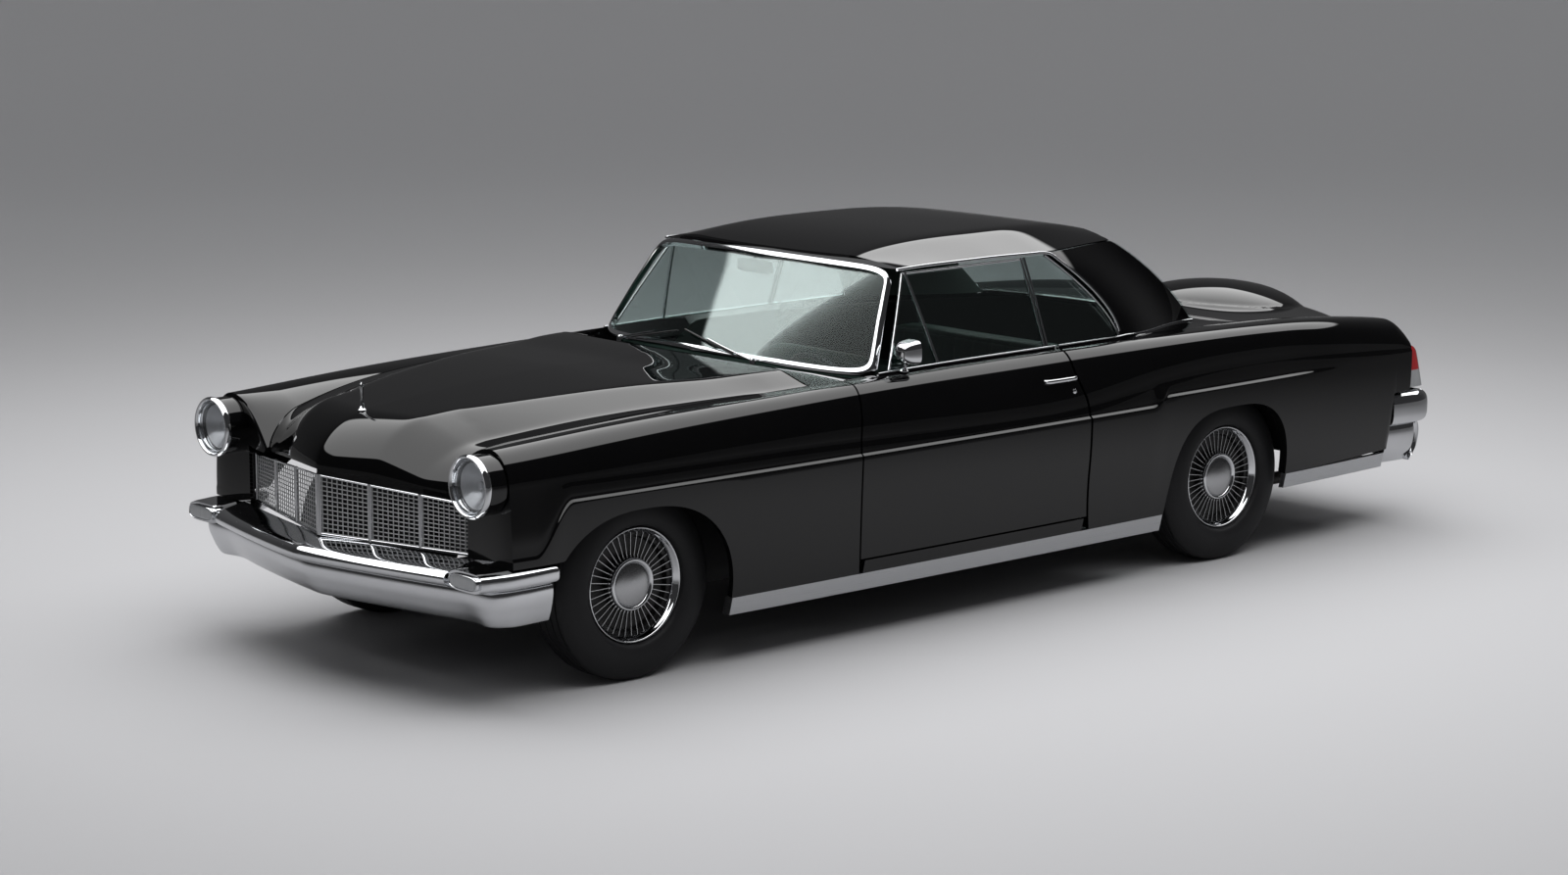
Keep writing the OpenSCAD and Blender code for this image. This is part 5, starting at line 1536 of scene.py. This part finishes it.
class COUPE_OT_stage(CoupeOperator, bpy.types.Operator):
    """Sets the floor, the light and the camera."""

    bl_idname = "coupe.stage"
    bl_label = "Stage"

    def execute(self, context):
        scene = context.scene
        look = scene.coupe_stage
        floor = make_object("floor", boxes([-60000, -60000, -40], [60000, 60000, 0]), sharp=0)
        paper = material("floor_paper", look.floor, 0.85)
        tree = paper.node_tree
        spot = node(tree, "ShaderNodeTexCoord", None, None, "Object")
        far = node(tree, "ShaderNodeVectorMath", {"operation": "LENGTH"}, [spot], "Value")
        # Painted reflection: to glossy rays the floor is painted dimmer with distance, from 2.5 m to 7 m from the car.
        reflected_floor_fade = ease(far, 2.5, 7.0, 0.76, 0.16)
        # Painted shade and light: the floor is painted its darker colour near the car, deepening the shade under it,
        # and paler from 7 m to 15 m away.
        away = ease(far, 7.0, 15.0)
        glossy = node(tree, "ShaderNodeLightPath", None, None, "Is Glossy Ray")
        painted_reflection_floor = blend(reflected_floor_fade, (0, 0, 0, 1), (*look.floor, 1))
        painted_light_floor = blend(away, (*look.floor, 1), (*look.distance, 1))
        floor_with_painted_light = blend(glossy, painted_light_floor, painted_reflection_floor)
        tree.links.new(floor_with_painted_light.out, tree.nodes["Principled BSDF"].inputs["Base Color"])
        floor.data.materials.append(paper)
        light = bpy.data.lights.new("top_light", "AREA")
        light.shape = "RECTANGLE"
        light.size, light.size_y = 11.0, 10.5
        light.energy = look.key
        lamp = bpy.data.objects.new("top_light", light)
        lamp.location = (0.0, 0.25, 6.2)
        lamp.visible_glossy = False
        scene.collection.objects.link(lamp)
        world = bpy.data.worlds.new("studio")
        scene.world = world
        world.use_nodes = True
        world.cycles.sampling_method = "NONE"
        tree = world.node_tree
        glossy = node(tree, "ShaderNodeLightPath", None, None, "Is Glossy Ray")
        way = node(tree, "ShaderNodeTexCoord", None, None, "Generated")
        x, y, z = [node(tree, "ShaderNodeSeparateXYZ", None, [way], axis) for axis in "XYZ"]
        panel = 1.0
        for edge in (x + z * 1.27, z * 0.6 - x, z * 1.65 - y, y + z * 1.9):
            panel = ease(edge, -0.02, 0.02) * panel
        back = ease(y - x, 0.4, 1.3)
        room = blend(back, look.mirrored, look.behind)
        mirrored = blend(panel, room, look.panel)
        colour = blend(glossy, look.ambient, mirrored)
        tree.links.new(colour.out, tree.nodes["Background"].inputs[0])
        camera = bpy.data.cameras.new("photo_view")
        camera.lens = EYE_LENS
        camera.sensor_width = 36.0
        camera.clip_end = 200.0
        eye = bpy.data.objects.new("photo_view", camera)
        eye.location = EYE
        eye.rotation_euler = (math.radians(90 - EYE_PITCH), 0, math.radians(EYE_YAW))
        scene.collection.objects.link(eye)
        scene.camera = eye
        scene.view_settings.view_transform = "Standard"
        return {"FINISHED"}


class COUPE_PT_side(bpy.types.Panel):
    """Sidebar panel with the steps in order and their values."""

    bl_label = "Fifties Coupe"
    bl_idname = "COUPE_PT_side"
    bl_space_type = "VIEW_3D"
    bl_region_type = "UI"
    bl_category = "Coupe"

    def draw(self, context):
        for group in GROUPS:
            values = getattr(context.scene, group)
            for key in values.__annotations__:
                self.layout.prop(values, key)
        for step in STEPS:
            self.layout.operator(step.bl_idname)


GROUPS = {
    "coupe_finish": CoupeFinish, "coupe_front": CoupeFront, "coupe_wheels": CoupeWheels, "coupe_stage": CoupeStage}
STEPS = (COUPE_OT_panels, COUPE_OT_glass, COUPE_OT_brightwork, COUPE_OT_lamps, COUPE_OT_wheels, COUPE_OT_cabin,
         COUPE_OT_underbody, COUPE_OT_stage)


def register():
    """Adds the classes and the values on the scene."""
    for cls in (*GROUPS.values(), *STEPS, COUPE_PT_side):
        bpy.utils.register_class(cls)
    for name, cls in GROUPS.items():
        setattr(bpy.types.Scene, name, bpy.props.PointerProperty(type=cls))


def unregister():
    """Takes the values and the classes away."""
    for name in GROUPS:
        delattr(bpy.types.Scene, name)
    for cls in reversed((*GROUPS.values(), *STEPS, COUPE_PT_side)):
        bpy.utils.unregister_class(cls)


def main():
    """Runs every step in order."""
    register()
    bpy.ops.coupe.panels()
    bpy.ops.coupe.glass()
    bpy.ops.coupe.brightwork()
    bpy.ops.coupe.lamps()
    bpy.ops.coupe.wheels()
    bpy.ops.coupe.cabin()
    bpy.ops.coupe.underbody()
    bpy.ops.coupe.stage()


if __name__ == "__main__":
    main()
